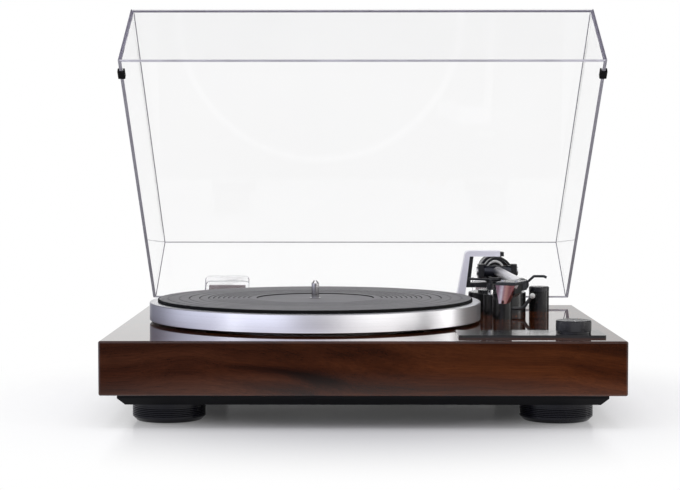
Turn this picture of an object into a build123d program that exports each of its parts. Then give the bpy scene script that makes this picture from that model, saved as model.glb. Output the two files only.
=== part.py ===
from build123d import *
import math
import os

# Record player with a wooden plinth, a belt-driven platter, a tonearm and a clear hinged lid.
# Millimetres. X runs to the right, Y to the rear, Z up.
# The origin is the centre of the plinth's footprint, on the surface that the player stands on.
# Heights named z_ are above the plinth's top face, which is called the deck.

# Clearances
run_fit = 0.05
screw_fit = 0.05
body_gap = 0.3
joint_gap = 0.4

# Plinth and bottom tray
plinth_width = 435.0
plinth_depth = 367.0
plinth_height = 45.2
plinth_wall = 18.0
plinth_roof = 15.0
plinth_edge = 1.6
post_size = 18.0
tray_height = 9.8
tray_inset = 13.5
tray_chamfer = 6.0
tray_wall = 5.0
tray_floor = 3.0

# Feet
foot_inset = 53.0
foot_height = 16.4
foot_radius = 31.0
foot_groove_depth = 0.7
foot_groove_width = 0.7
foot_flange = 2.7
foot_bevel = 3.4
foot_ridge_pitch = 1.5
foot_ridge_depth = 0.35
pad_height = 1.2
pad_radius = 16.8
pad_seat = 1.0
pad_edge = 0.8
foot_boss_radius = 5.5
foot_boss_height = 5.0

# Screws: head radius, head height, shank radius, shank length
machine_screw = (2.75, 1.8, 1.5, 10.0)
cover_screw = (3.2, 2.0, 1.7, 14.0)
foot_screw = (3.8, 2.5, 2.0, 18.0)
hinge_screw = (3.0, 1.8, 1.7, 12.0)
shell_screw = (2.1, 1.2, 1.2, 4.2)
screw_socket = 0.55
socket_sides = 6

# Platter, mat, spindle and main bearing
platter_radius = 153.0
platter_z_low = 1.9
platter_z_top = 18.4
platter_web = 6.0
platter_rim_wall = 14.0
platter_edge = 0.7
ring_pulley_gap = 12.0
belt_ring_wall = 8.0
belt_ring_z_low = 4.0
hub_radius = 16.0
hub_draft = 1.0
rim_draft = 2.0
access_hole_radius = 12.0
mat_margin = 7.5
mat_thickness = 2.8
mat_label_radius = 54.0
mat_label_depth = 0.8
mat_edge = 0.6
mat_label_slope = 1.0
pin_radius = 3.575
pin_height = 16.0
pin_taper = 2.8
pin_tip_radius = 1.4
pin_seat_radius = 5.0
pin_seat_drop = 0.1
shoulder_radius = 9.5
shoulder_z_low = 2.8
shoulder_z_top = 6.4
shaft_radius = 4.0
shaft_length = 34.5
bearing_flange_radius = 18.0
bearing_flange = 2.2
bearing_body_radius = 9.0
bearing_floor = 2.4
bearing_screw_circle = 14.0
bearing_screws = 3
bearing_screws_deg = 30.0
ball_radius = 2.0
ball_gap = 0.1

# Drive
pulley_rim_gap = 9.0
motor_bearing_deg = 135.0
motor_radius = 18.0
motor_height = 28.0
motor_edge = 1.0
motor_boss_radius = 5.0
motor_boss_height = 4.0
motor_plate_radius = 32.0
motor_plate_thickness = 2.0
motor_screw_circle = 12.5
motor_screws = 2
motor_screws_deg = 90.0
grommet_circle = 26.0
grommets = 3
grommet_radius = 6.0
grommet_height = 3.0
grommet_wall_gap = 0.2
motor_shaft_radius = 1.0
motor_shaft_depth = 22.0
pulley_radius = 7.0
pulley_flange_radius = 9.0
pulley_flange = 1.0
pulley_hub_height = 1.6
pulley_hub_step = 2.0
pulley_bore_fit = 0.02
belt_z_low = 6.0
belt_height = 4.0
belt_thickness = 0.8
motor_hole_radius = 9.0

# Control plate, knob and switch
plate_left = 80.0
plate_right_inset = 14.0
plate_front_inset = 29.0
plate_depth = 47.0
plate_thickness = 2.1
plate_corner = 1.5
knob_right_inset = 38.5
knob_radius = 15.0
knob_height = 10.5
knob_chamfer = 0.8
knob_recess = 0.5
knob_recess_radius = 12.6
knob_mark_width = 1.0
knob_mark_depth = 0.6
knob_stem_radius = 3.0
bush_radius = 4.3
bush_z_top = 1.6
switch_size = 15.0
switch_height = 13.0
switch_floor = 2.5

# Board inside the tray
board_left = 40.0
board_front = -50.0
board_width = 100.0
board_length = 90.0
board_thickness = 1.6
board_standoff = 7.0
board_standoff_radius = 4.0
board_hole_inset = 6.0
header_height = 7.0
header_length = 16.0
header_depth = 6.0
lead_radius = 1.5
lead_bend = 9.0
lead_small_bend = 3.0
motor_header_y = 0.0
inlet_header_x = 60.0
arm_header_x = 118.0
capacitors = 3
capacitor_radius = 5.0
capacitor_height = 12.0
capacitor_pitch = 16.0
capacitor_inset_x = 30.0
capacitor_inset_y = 20.0
chip_length = 30.0
chip_width = 15.0
chip_height = 3.0
chip_inset_x = 30.0
chip_inset_y = 40.0
motor_lead_straight = 30.0
motor_lead_pass_x = 20.0
motor_lead_pass_y = 55.0
motor_lead_approach = 30.0
motor_lead_rise = 12.0
inlet_lead_straight = 30.0
inlet_lead_approach = 40.0
arm_lead_drop = 12.0
arm_lead_approach = 25.0

# Rear panel
panel_centre_x = 55.0
panel_width = 100.0
panel_bottom = 34.0
panel_height = 26.0
panel_thickness = 2.4
panel_recess = 3.0
panel_fit = 0.2
panel_lip = 9.0
panel_sill = 3.5
jack_right_x = 62.0
jack_left_x = 78.0
ground_x = 92.0
inlet_x = 22.0
jack_sleeve_radius = 4.15
jack_sleeve = 8.0
jack_flange_radius = 6.0
jack_flange = 1.5
jack_body_radius = 4.9
jack_body = 12.0
jack_bore_radius = 1.6
ground_stud_radius = 2.0
ground_stud = 13.0
ground_nut_radius = 5.0
ground_nut = 6.0
inlet_width = 13.0
inlet_height = 11.0
inlet_body = 14.0
inlet_bore_radius = 3.0
inlet_bore = 9.0
inlet_pin_radius = 1.0

# Tonearm: the vertical pivot and the stylus
arm_right_inset = 83.8
arm_rear_inset = 77.0
pivot_to_spindle_x = 176.7
pivot_to_spindle_y = 97.0
pivot_to_stylus = 236.5
parked_deg = 3.51
offset_deg = 20.5
shell_reach = 52.0
arm_above_turret = 20.2
stylus_below_arm = 13.9

# Tonearm: turret and bearing
turret_radius = 28.2
turret_height = 19.5
turret_edge = 1.0
turret_bore_radius = 4.0
collar_radius = 19.0
collar_height = 2.0
neck_radius = 10.0
neck_height = 2.5
frame_bar = 4.5
frame_depth = 13.0
frame_right = 10.8
frame_left_low = -31.0
frame_left_high = -27.4
frame_column = 3.8
frame_above_arm = 14.7
frame_top_bar = 4.2
frame_tip = 6.1
bridge_left_low = -42.8
bridge_left_high = -31.2
bridge_above_arm = 20.1
bridge_depth = 18.0
bridge_right = 2.2
bridge_corner = 4.5
bridge_foot_left = -50.0
bridge_foot_height = 3.0
pivot_screw_radius = 2.0
pivot_tip_radius = 1.2
pivot_tip = 1.4
pivot_slot_half_width = 0.4
pivot_slot_depth = 1.0
yoke_half_width = 19.0
yoke_inner_half_width = 13.4
yoke_radius = 14.0
yoke_inner_radius = 11.8
yoke_below_arm = 10.2
yoke_bar = 3.0
yoke_depth = 9.0
yoke_cup_depth = 1.4
journal_radius = 3.0
journal_length = 16.0
cheek_half_height = 6.9
slot_half_height = 5.6
side_pivot_radius = 2.6
side_pivot_head_radius = 4.2
side_pivot_head = 1.2
axle_radius = 1.5

# Tonearm: tube, weight and dial
cross_radius = 5.2
tube_radius = 4.5
tube_wall = 0.8
tube_bore_end = 12.0
tube_socket = 6.0
socket_radius = 5.3
socket_length = 9.0
stub_radius = 5.0
stub_length = 47.0
weight_radius = 14.5
weight_near = 24.0
weight_far = 43.8
weight_groove = 0.8
dial_radius = 9.7
dial_near = 18.5
dial_far = 23.7

# Headshell, cartridge and stylus
shell_half_width = 9.5
shell_front = 7.0
shell_rear = 42.0
shell_above_arm = 3.0
shell_thickness = 1.6
shell_plug_overlap = 2.0
shell_corner = 2.0
shell_neck_half_width = 4.6
lift_wire_radius = 1.1
lift_wire_y = 37.0
lift_wire_route = [(-1.0, 0.0), (1.0, 0.8), (5.7, 5.0), (14.7, 5.2), (17.0, 4.2)]
flange_half_width = 8.75
flange_rear = 28.0
flange_thickness = 1.0
cartridge_half_width = 7.6
cartridge_front = 8.0
cartridge_rear = 27.0
cartridge_height = 10.4
cartridge_bevel = 3.2
cartridge_screw_y = 18.5
cartridge_screw_x = 6.35
stylus_top_front = 5.6
stylus_top_rear = 15.0
stylus_low_half_width = 3.3
stylus_low_front = -1.5
stylus_low_rear = 7.5
stylus_above_tip = 0.9
stylus_slot_half_width = 1.1
stylus_slot_rear = 4.5
stylus_slot_height = 2.6
cantilever_radius = 0.35
cantilever_root = 1.2

# Arm rest and cue lift
rest_distance = 83.5
rest_post_side = 4.9
rest_post_radius = 9.1
rest_post_height = 24.0
rest_neck_radius = 6.0
cradle_below_arm = 6.5
cradle_floor = 3.0
cradle_lip_below_arm = 2.2
cradle_lip = 2.8
cradle_left = 9.0
cradle_width = 8.0
lift_radius = 38.0
lift_bearing_deg = -104.0
lift_housing_radius = 7.0
lift_housing_height = 19.5
lift_housing_floor = 3.0
piston_radius = 2.5
piston_z_low = 11.5
piston_z_top = 24.0
rail_collar_radius = 3.6
rail_collar_height = 6.0
rail_stem_radius = 1.6
rail_radius = 1.2
rail_start_deg = -140.0
rail_sweep_deg = 56.0
lever_z = 5.8
lever_radius = 1.7
lever_straight = 31.0
lever_end = 40.1
lever_ball_z = 18.0
lever_ball_radius = 2.7
lever_corner = 6.0

# Anti-skate post
skate_right_inset = 42.0
skate_rear_inset = 71.5
skate_radius = 9.8
skate_height = 19.3
skate_dial_radius = 9.9
skate_dial_z_top = 24.3
skate_stem_radius = 3.0
skate_stem = 9.0

# Lid and hinges
lid_side_gap = 2.0
lid_rear_gap = 3.0
lid_front_gap = 10.0
lid_rim_gap = 2.5
lid_height = 69.5
lid_wall = 3.0
lid_taper_inset = 5.7
lid_open_deg = 40.7
hinge_behind = 12.7
hinge_below_deck = 25.4
hinge_side_inset = 78.2
hinge_pin_radius = 2.0
barrel_radius = 6.2
tongue_half_width = 19.0
tongue_thickness = 3.6
tongue_gap = 0.5
tongue_above_rim = 18.1
tongue_low = 52.0
web_start_rear = 0.85
web_start_below = 0.5
web_end_rear = 0.6
web_end_above = 0.78
web_high = 62.0
socket_half_width = 23.0
socket_height = 27.0
socket_corner = 5.0
socket_wall = 2.0
ear_thickness = 4.0
bracket_plate = 3.0
bracket_low = 30.0
bracket_high = 44.0
bracket_screw_x = 14.0
bracket_screw_z = 36.0
pin_head_radius = 3.2
pin_head = 1.2
bumper_from_front = 14.5
bumper_length = 8.0
bumper_width = 6.5
bumper_above_rim = 3.5
bumper_edge = 1.0

# Derived places
tray_bottom = pad_height + foot_height
plinth_bottom = tray_bottom + tray_height
deck = plinth_bottom + plinth_height
roof_under = deck - plinth_roof
half_width = plinth_width / 2
half_depth = plinth_depth / 2
cavity_half_width = half_width - plinth_wall
cavity_half_depth = half_depth - plinth_wall
tray_half_width = half_width - tray_inset
tray_half_depth = half_depth - tray_inset
tray_floor_top = tray_bottom + tray_floor
foot_x = half_width - foot_inset
foot_y = half_depth - foot_inset
cover_screw_x = cavity_half_width - post_size / 2
cover_screw_y = cavity_half_depth - post_size / 2
pivot_x = half_width - arm_right_inset
pivot_y = half_depth - arm_rear_inset
spindle_x = pivot_x - pivot_to_spindle_x
spindle_y = pivot_y - pivot_to_spindle_y
rim_inside = platter_radius - platter_rim_wall
motor_distance = rim_inside - pulley_rim_gap - pulley_flange_radius
belt_ring_radius = motor_distance - pulley_flange_radius - ring_pulley_gap
mat_radius = platter_radius - mat_margin
motor_x = spindle_x + motor_distance * math.cos(math.radians(motor_bearing_deg))
motor_y = spindle_y + motor_distance * math.sin(math.radians(motor_bearing_deg))
mat_z_top = platter_z_top + mat_thickness
knob_x = half_width - knob_right_inset
knob_y = -half_depth + plate_front_inset + plate_depth / 2
plate_right = half_width - plate_right_inset
lift_x = pivot_x + lift_radius * math.cos(math.radians(lift_bearing_deg))
lift_y = pivot_y + lift_radius * math.sin(math.radians(lift_bearing_deg))
skate_x = half_width - skate_right_inset
skate_y = half_depth - skate_rear_inset
hinge_x = half_width - hinge_side_inset
hinge_y = half_depth + hinge_behind
hinge_z = deck - hinge_below_deck
rim_z = deck + lid_rim_gap
lid_rear = half_depth - lid_rear_gap
lid_front = -half_depth + lid_front_gap
lid_half_width = half_width - lid_side_gap
lid_taper_deg = math.degrees(math.atan2(lid_taper_inset, lid_height))
tongue_front = half_depth + tongue_gap
tongue_rear = tongue_front + tongue_thickness
board_z_low = tray_floor_top + board_standoff
board_z_top = board_z_low + board_thickness
motor_plate_top = roof_under - grommet_height
motor_top = motor_plate_top - motor_plate_thickness
panel_face = half_depth - panel_recess + panel_thickness
panel_middle_z = panel_bottom + panel_height / 2

# Heights along the tonearm, above the deck
arm_z = turret_height + arm_above_turret
stylus_z = arm_z - stylus_below_arm
frame_z_low = turret_height + collar_height + neck_height
frame_z_under_top = arm_z + frame_above_arm
frame_z_top = frame_z_under_top + frame_top_bar
bridge_z_top = arm_z + bridge_above_arm
yoke_z_low = arm_z - yoke_below_arm
shell_z_low = arm_z + shell_above_arm
shell_z_top = shell_z_low + shell_thickness
flange_z_low = shell_z_low - flange_thickness
cartridge_z_low = flange_z_low - cartridge_height
stylus_z_low = stylus_z + stylus_above_tip
stylus_slot_z_top = stylus_z_low + stylus_slot_height
cradle_floor_z = arm_z - cradle_below_arm
cradle_lip_z = arm_z - cradle_lip_below_arm

# The line from pivot to stylus, the tube and the headshell each have their own direction in plan.
offset_sin = math.sin(math.radians(offset_deg))
offset_cos = math.cos(math.radians(offset_deg))
joint_side = shell_reach * offset_sin
joint_ahead = pivot_to_stylus - shell_reach * offset_cos
tube_length = math.hypot(joint_side, joint_ahead)
tube_skew_deg = math.degrees(math.atan2(joint_side, joint_ahead))
pivot_place = Pos(pivot_x, pivot_y, deck)
tube_place = pivot_place * Rot(0, 0, tube_skew_deg - parked_deg)
lift_place = Pos(lift_x, lift_y, deck)
shell_place = pivot_place * Rot(0, 0, -parked_deg) * Pos(0, -pivot_to_stylus, 0) * Rot(0, 0, -offset_deg)
tube_end = tube_length - tube_socket
open_hinge = Axis((0, hinge_y, hinge_z), (1, 0, 0))


def rod(radius, low, high, x=0.0, y=0.0):
    """Upright cylinder between two heights."""
    return Pos(x, y, (low + high) / 2) * Cylinder(radius, high - low)


def slab(x_low, x_high, y_low, y_high, z_low, z_high):
    """Block between two corners."""
    middle = Pos((x_low + x_high) / 2, (y_low + y_high) / 2, (z_low + z_high) / 2)
    return middle * Box(x_high - x_low, y_high - y_low, z_high - z_low)


def bar(radius, start, end):
    """Round bar between two points."""
    run = Vector(*end) - Vector(*start)
    middle = Vector(*start) + run * 0.5
    return Plane(origin=middle, z_dir=run) * Cylinder(radius, run.length)


def turned(points):
    """Turned part about Z from its (radius, height) outline."""
    return revolve(Plane.XZ * Polygon(*points, align=None), Axis.Z)


def side_profile(points, x_low, x_high):
    """Extrusion along X of a (y, z) outline."""
    face = Plane.YZ * Polygon(*points, align=None)
    return Pos(x_low, 0, 0) * extrude(face, x_high - x_low, dir=(1, 0, 0))


def front_profile(points, y_low, y_high):
    """Extrusion along Y of an (x, z) outline."""
    face = Plane.XZ * Polygon(*points, align=None)
    return Pos(0, y_low, 0) * extrude(face, y_high - y_low, dir=(0, 1, 0))


def wire(points, radius, bend):
    """Round wire along straight runs with rounded corners."""
    path = FilletPolyline(*points, radius=bend)
    return sweep(Plane(origin=path @ 0, z_dir=path % 0) * Circle(radius), path=path)


def ring_of(count, radius, start_deg=0.0):
    """Evenly spaced places on a circle."""
    step = 360 / count
    return [Rot(0, 0, start_deg + step * i) * Pos(radius, 0, 0) for i in range(count)]


def screw(size):
    """Screw along Z: its head stands on the plane Z = 0 and its shank runs down."""
    head_radius, head_height, shank_radius, length = size
    socket = extrude(RegularPolygon(head_radius * screw_socket, socket_sides), head_height * screw_socket)
    head = rod(head_radius, 0, head_height) - Pos(0, 0, head_height * (1 - screw_socket)) * socket
    return head + rod(shank_radius, -length, 0)


def screw_hole(size):
    """The hole that a screw's shank needs, a little longer than the shank."""
    _, _, shank_radius, length = size
    return rod(shank_radius + screw_fit, -length - body_gap, body_gap)


def solids_of(*shapes):
    return [solid for shape in shapes for solid in shape.solids()]


def write(node, *shapes):
    """One STEP file for one node, which may hold several like solids."""
    found = solids_of(*shapes)
    whole = found[0] if len(found) == 1 else Compound(found)
    export_step(whole, f"parts/{node}.step")


# Places of the screws

def cover_screw_places():
    spots = [(x, y) for x in (-1, 0, 1) for y in (-1, 0, 1) if (x, y) != (0, 0)]
    return [Pos(x * cover_screw_x, y * cover_screw_y, 0) for x, y in spots]


def foot_places():
    return [Pos(x * foot_x, y * foot_y, 0) for y in (-1, 1) for x in (-1, 1)]


def bearing_screw_places():
    centre = Pos(spindle_x, spindle_y, deck + bearing_flange)
    return [centre * spot for spot in ring_of(bearing_screws, bearing_screw_circle, bearing_screws_deg)]


def motor_plate_screw_places():
    centre = Pos(motor_x, motor_y, motor_top)
    return [centre * spot * Rot(180, 0, 0) for spot in ring_of(grommets, grommet_circle)]


def motor_screw_places():
    centre = Pos(motor_x, motor_y, motor_plate_top)
    return [centre * spot for spot in ring_of(motor_screws, motor_screw_circle, motor_screws_deg)]


def board_screw_places():
    x_spots = (board_left + board_hole_inset, board_left + board_width - board_hole_inset)
    y_spots = (board_front + board_hole_inset, board_front + board_length - board_hole_inset)
    return [Pos(x, y, board_z_top) for x in x_spots for y in y_spots]


def on_panel(x):
    """Place on the rear panel's face, turned so that Z points to the rear."""
    return Pos(x, panel_face, panel_middle_z) * Rot(-90, 0, 0)


def panel_screw_places():
    reach = panel_width / 2 - panel_lip / 2
    return [on_panel(panel_centre_x + side * reach) for side in (-1, 1)]


def hinge_screw_places():
    spots = [(hinge, side) for hinge in (-1, 1) for side in (-1, 1)]
    face_y = half_depth + bracket_plate
    return [
        Pos(hinge * hinge_x + side * bracket_screw_x, face_y, bracket_screw_z) * Rot(-90, 0, 0)
        for hinge, side in spots
    ]


def bridge_screw_places():
    middle = (bridge_foot_left + bridge_left_low) / 2
    reach = bridge_depth / 2 - machine_screw[0] - body_gap
    return [pivot_place * Pos(middle, side * reach, bridge_foot_height) for side in (-1, 1)]


# Case

def make_plinth():
    body = slab(-half_width, half_width, -half_depth, half_depth, plinth_bottom, deck)
    body = fillet(body.edges(), plinth_edge)
    body -= slab(
        -cavity_half_width, cavity_half_width, -cavity_half_depth, cavity_half_depth,
        plinth_bottom, roof_under,
    )
    for place in cover_screw_places():
        body += place * slab(
            -post_size / 2, post_size / 2, -post_size / 2, post_size / 2, plinth_bottom, roof_under
        )
        body -= place * Pos(0, 0, tray_bottom + cover_screw[1]) * Rot(180, 0, 0) * screw_hole(cover_screw)
    body -= rod(bearing_body_radius + body_gap, roof_under, deck, spindle_x, spindle_y)
    body -= rod(motor_hole_radius, roof_under, deck, motor_x, motor_y)
    body -= rod(bush_radius + body_gap, roof_under, deck, knob_x, knob_y)
    body -= rod(turret_bore_radius, roof_under, deck, pivot_x, pivot_y)
    body -= slab(
        panel_centre_x - panel_width / 2, panel_centre_x + panel_width / 2,
        half_depth - panel_recess, half_depth,
        panel_bottom, panel_bottom + panel_height,
    )
    body -= slab(
        panel_centre_x - panel_width / 2 + panel_lip, panel_centre_x + panel_width / 2 - panel_lip,
        cavity_half_depth, half_depth,
        panel_bottom + panel_sill, panel_bottom + panel_height - panel_sill,
    )
    for place in bearing_screw_places() + motor_plate_screw_places() + panel_screw_places():
        body -= place * screw_hole(machine_screw)
    for place in bridge_screw_places():
        body -= place * screw_hole(machine_screw)
    for place in hinge_screw_places():
        body -= place * screw_hole(hinge_screw)
    return body


def make_base_cover():
    block = slab(
        -tray_half_width, tray_half_width, -tray_half_depth, tray_half_depth, tray_bottom, plinth_bottom
    )
    block = chamfer(block.edges().group_by(Axis.Z)[0], tray_chamfer)
    inner_x = tray_half_width - tray_wall - tray_chamfer / 2
    inner_y = tray_half_depth - tray_wall - tray_chamfer / 2
    block -= slab(-inner_x, inner_x, -inner_y, inner_y, tray_floor_top, plinth_bottom)
    head_radius, head_height, shank_radius, _ = cover_screw
    for place in cover_screw_places():
        block += place * rod(head_radius + tray_floor, tray_floor_top, plinth_bottom)
        block -= place * rod(shank_radius + screw_fit, tray_bottom, plinth_bottom)
        block -= place * rod(head_radius + body_gap, tray_bottom, tray_bottom + head_height)
    for place in foot_places():
        block += place * rod(foot_boss_radius, tray_floor_top, tray_floor_top + foot_boss_height)
        block -= place * rod(foot_screw[2] + screw_fit, tray_bottom, tray_floor_top + foot_boss_height)
    for place in board_screw_places():
        foot = place * Pos(0, 0, -board_thickness)
        block += foot * rod(board_standoff_radius, -board_standoff, 0)
        block -= place * screw_hole(machine_screw)
    return block


def make_foot(place):
    top = tray_bottom
    groove_top = top - foot_flange
    groove_low = groove_top - foot_groove_width
    bevel_top = pad_height + foot_bevel
    outline = [(0, top), (foot_radius, top), (foot_radius, groove_top)]
    outline += [(foot_radius - foot_groove_depth, groove_top), (foot_radius - foot_groove_depth, groove_low)]
    outline += [(foot_radius, groove_low)]
    ridges = int((groove_low - bevel_top) / foot_ridge_pitch)
    for i in range(1, ridges):
        middle = groove_low - i * foot_ridge_pitch
        half = foot_ridge_depth
        outline += [(foot_radius, middle + half), (foot_radius - foot_ridge_depth, middle)]
        outline += [(foot_radius, middle - half)]
    outline += [(foot_radius, bevel_top), (foot_radius - foot_bevel, pad_height)]
    outline += [(pad_radius, pad_height), (pad_radius, pad_height + pad_seat), (0, pad_height + pad_seat)]
    head_radius, head_height, shank_radius, _ = foot_screw
    foot = turned(outline)
    foot -= rod(head_radius + body_gap, pad_height, pad_height + pad_seat + head_height)
    foot -= rod(shank_radius + screw_fit, pad_height, top)
    return place * foot


def make_foot_pad(place):
    pad = rod(pad_radius, 0, pad_height + pad_seat)
    pad = chamfer(pad.edges().group_by(Axis.Z)[0], pad_edge)
    return place * pad


# Controls and electronics

def make_control_plate():
    plate = slab(
        plate_left, plate_right,
        knob_y - plate_depth / 2, knob_y + plate_depth / 2,
        deck, deck + plate_thickness,
    )
    plate = fillet(plate.edges().filter_by(Axis.Z), plate_corner)
    return plate - rod(bush_radius + body_gap, deck, deck + plate_thickness, knob_x, knob_y)


def make_speed_knob():
    low = plate_thickness + joint_gap
    high = low + knob_height
    knob = turned([
        (0, low), (knob_radius, low), (knob_radius, high - knob_chamfer), (knob_radius - knob_chamfer, high),
        (knob_recess_radius, high), (knob_recess_radius, high - knob_recess), (0, high - knob_recess),
    ])
    mark_low = high - knob_recess - knob_mark_depth
    knob -= slab(-knob_mark_width / 2, knob_mark_width / 2, -knob_radius, -knob_radius / 2, mark_low, high)
    stem_low = roof_under - deck - switch_height + switch_floor + body_gap
    knob += rod(knob_stem_radius, stem_low, low)
    return Pos(knob_x, knob_y, deck) * knob


def make_speed_switch():
    half = switch_size / 2
    low = roof_under - switch_height
    body = slab(-half, half, -half, half, low, roof_under)
    body += rod(bush_radius, roof_under, deck + bush_z_top)
    body -= rod(knob_stem_radius + run_fit, low + switch_floor, deck + bush_z_top)
    return Pos(knob_x, knob_y, 0) * body


def header(x, y):
    """Plug header on the board, with its long side along Y."""
    return slab(
        x, x + header_depth, y - header_length / 2, y + header_length / 2,
        board_z_top, board_z_top + header_height,
    )


def rear_header(x):
    high_y = board_front + board_length
    half = header_length / 2
    return slab(x - half, x + half, high_y - header_depth, high_y, board_z_top, board_z_top + header_height)


def make_main_board():
    board = slab(
        board_left, board_left + board_width, board_front, board_front + board_length,
        board_z_low, board_z_top,
    )
    board += header(board_left, motor_header_y)
    board += rear_header(inlet_header_x) + rear_header(arm_header_x)
    for i in range(capacitors):
        x = board_left + capacitor_inset_x + i * capacitor_pitch
        y = board_front + capacitor_inset_y
        board += rod(capacitor_radius, board_z_top, board_z_top + capacitor_height, x, y)
    chip_left = board_left + chip_inset_x
    chip_front = board_front + chip_inset_y
    board += slab(
        chip_left, chip_left + chip_length, chip_front, chip_front + chip_width,
        board_z_top, board_z_top + chip_height,
    )
    for place in board_screw_places():
        board -= place * screw_hole(machine_screw)
    return board


def make_wiring():
    """Three leads: motor to board, power socket to board, tonearm to board."""
    lead_z = board_z_top + header_height / 2
    high_y = board_front + board_length
    low_z = tray_floor_top + 2 * lead_radius
    motor_side = motor_x + motor_radius
    motor_lead = wire([
        (motor_side, motor_y, lead_z), (motor_side + motor_lead_straight, motor_y, lead_z),
        (spindle_x + motor_lead_pass_x, spindle_y + motor_lead_pass_y, low_z),
        (board_left - motor_lead_approach, motor_header_y, low_z),
        (board_left - motor_lead_rise, motor_header_y, lead_z), (board_left, motor_header_y, lead_z),
    ], lead_radius, lead_small_bend)
    inlet_rear = panel_face - inlet_body
    inlet_lead = wire([
        (inlet_x, inlet_rear, panel_middle_z), (inlet_x, inlet_rear - inlet_lead_straight, panel_middle_z),
        (inlet_header_x, high_y + inlet_lead_approach, lead_z), (inlet_header_x, high_y, lead_z),
    ], lead_radius, lead_bend)
    arm_lead = wire([
        (pivot_x, pivot_y, deck - lead_radius), (pivot_x, pivot_y, roof_under - arm_lead_drop),
        (arm_header_x, high_y + arm_lead_approach, lead_z), (arm_header_x, high_y, lead_z),
    ], lead_radius, lead_bend)
    return [motor_lead, inlet_lead, arm_lead]


# Rear panel

def make_jack_panel():
    panel = slab(
        panel_centre_x - panel_width / 2 + panel_fit, panel_centre_x + panel_width / 2 - panel_fit,
        half_depth - panel_recess, panel_face,
        panel_bottom + panel_fit, panel_bottom + panel_height - panel_fit,
    )
    for x in (jack_left_x, jack_right_x):
        panel -= on_panel(x) * rod(jack_body_radius + screw_fit, -panel_thickness, 0)
    panel -= on_panel(ground_x) * rod(ground_stud_radius + screw_fit, -panel_thickness, 0)
    panel -= on_panel(inlet_x) * slab(
        -inlet_width / 2 - screw_fit, inlet_width / 2 + screw_fit,
        -inlet_height / 2 - screw_fit, inlet_height / 2 + screw_fit,
        -panel_thickness, 0,
    )
    for place in panel_screw_places():
        panel -= place * screw_hole(machine_screw)
    return panel


def make_phono_jack(x):
    jack = turned([
        (0, -jack_body), (jack_body_radius, -jack_body), (jack_body_radius, 0), (jack_flange_radius, 0),
        (jack_flange_radius, jack_flange), (jack_sleeve_radius, jack_flange),
        (jack_sleeve_radius, jack_flange + jack_sleeve), (jack_bore_radius, jack_flange + jack_sleeve),
        (jack_bore_radius, jack_flange), (0, jack_flange),
    ])
    return on_panel(x) * jack


def make_ground_post():
    stud = rod(ground_stud_radius, -jack_body / 2, ground_stud)
    stud += rod(ground_nut_radius, 0, jack_flange)
    nut = rod(ground_nut_radius, jack_flange + body_gap, jack_flange + body_gap + ground_nut)
    nut -= rod(ground_stud_radius + screw_fit, 0, ground_stud)
    return [on_panel(ground_x) * stud, on_panel(ground_x) * nut]


def make_power_inlet():
    half_x = inlet_width / 2
    half_y = inlet_height / 2
    body = slab(-half_x, half_x, -half_y, half_y, -inlet_body, jack_flange / 2)
    body -= rod(inlet_bore_radius, jack_flange / 2 - inlet_bore, jack_flange / 2)
    body += rod(inlet_pin_radius, jack_flange / 2 - inlet_bore, 0)
    return on_panel(inlet_x) * body


# Drive

def make_motor():
    motor = turned([
        (0, -motor_height), (motor_radius - motor_edge, -motor_height),
        (motor_radius, motor_edge - motor_height), (motor_radius, -motor_edge),
        (motor_radius - motor_edge, 0), (motor_boss_radius, 0),
        (motor_boss_radius, motor_boss_height), (0, motor_boss_height),
    ])
    motor -= rod(motor_shaft_radius + run_fit, -motor_shaft_depth - body_gap, motor_boss_height)
    motor = Pos(motor_x, motor_y, motor_top) * motor
    for place in motor_screw_places():
        motor -= place * screw_hole(machine_screw)
    return motor


def make_motor_plate():
    plate = rod(motor_plate_radius, motor_top, motor_plate_top, motor_x, motor_y)
    plate -= rod(motor_boss_radius + screw_fit, motor_top, motor_plate_top, motor_x, motor_y)
    for place in motor_screw_places() + motor_plate_screw_places():
        plate -= place * screw_hole(machine_screw)
    return plate


def make_grommets():
    bore = machine_screw[2] + grommet_wall_gap
    ring = rod(grommet_radius, 0, grommet_height) - rod(bore, 0, grommet_height)
    centre = Pos(motor_x, motor_y, motor_plate_top)
    return [centre * spot * ring for spot in ring_of(grommets, grommet_circle)]


def make_motor_shaft():
    top = deck + belt_z_low + belt_height + pulley_flange + pulley_hub_height / 2
    return rod(motor_shaft_radius, motor_top - motor_shaft_depth, top, motor_x, motor_y)


def make_pulley():
    low = belt_z_low - pulley_flange
    high = belt_z_low + belt_height + pulley_flange
    hub = pulley_radius - pulley_hub_step
    pulley = turned([
        (0, low - pulley_hub_height), (hub, low - pulley_hub_height), (hub, low),
        (pulley_flange_radius, low), (pulley_radius, belt_z_low - body_gap),
        (pulley_radius, belt_z_low + belt_height + body_gap), (pulley_flange_radius, high),
        (hub, high), (hub, high + pulley_hub_height / 2), (0, high + pulley_hub_height / 2),
    ])
    bore = motor_shaft_radius + pulley_bore_fit
    pulley -= rod(bore, low - 2 * pulley_hub_height, high + pulley_hub_height)
    return Pos(motor_x, motor_y, deck) * pulley


def belt_loop(ring, small):
    """Filled outline of a belt round two wheels, the small one along X."""
    wheels = [Circle(ring), Pos(motor_distance, 0) * Circle(small)]
    return make_hull([edge for wheel in wheels for edge in wheel.edges()])


def make_belt():
    inside = belt_loop(belt_ring_radius + body_gap, pulley_radius + body_gap)
    outside = belt_loop(
        belt_ring_radius + body_gap + belt_thickness, pulley_radius + body_gap + belt_thickness
    )
    belt = extrude(outside, belt_height) - extrude(inside, belt_height)
    return Pos(spindle_x, spindle_y, deck + belt_z_low) * Rot(0, 0, motor_bearing_deg) * belt


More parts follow.
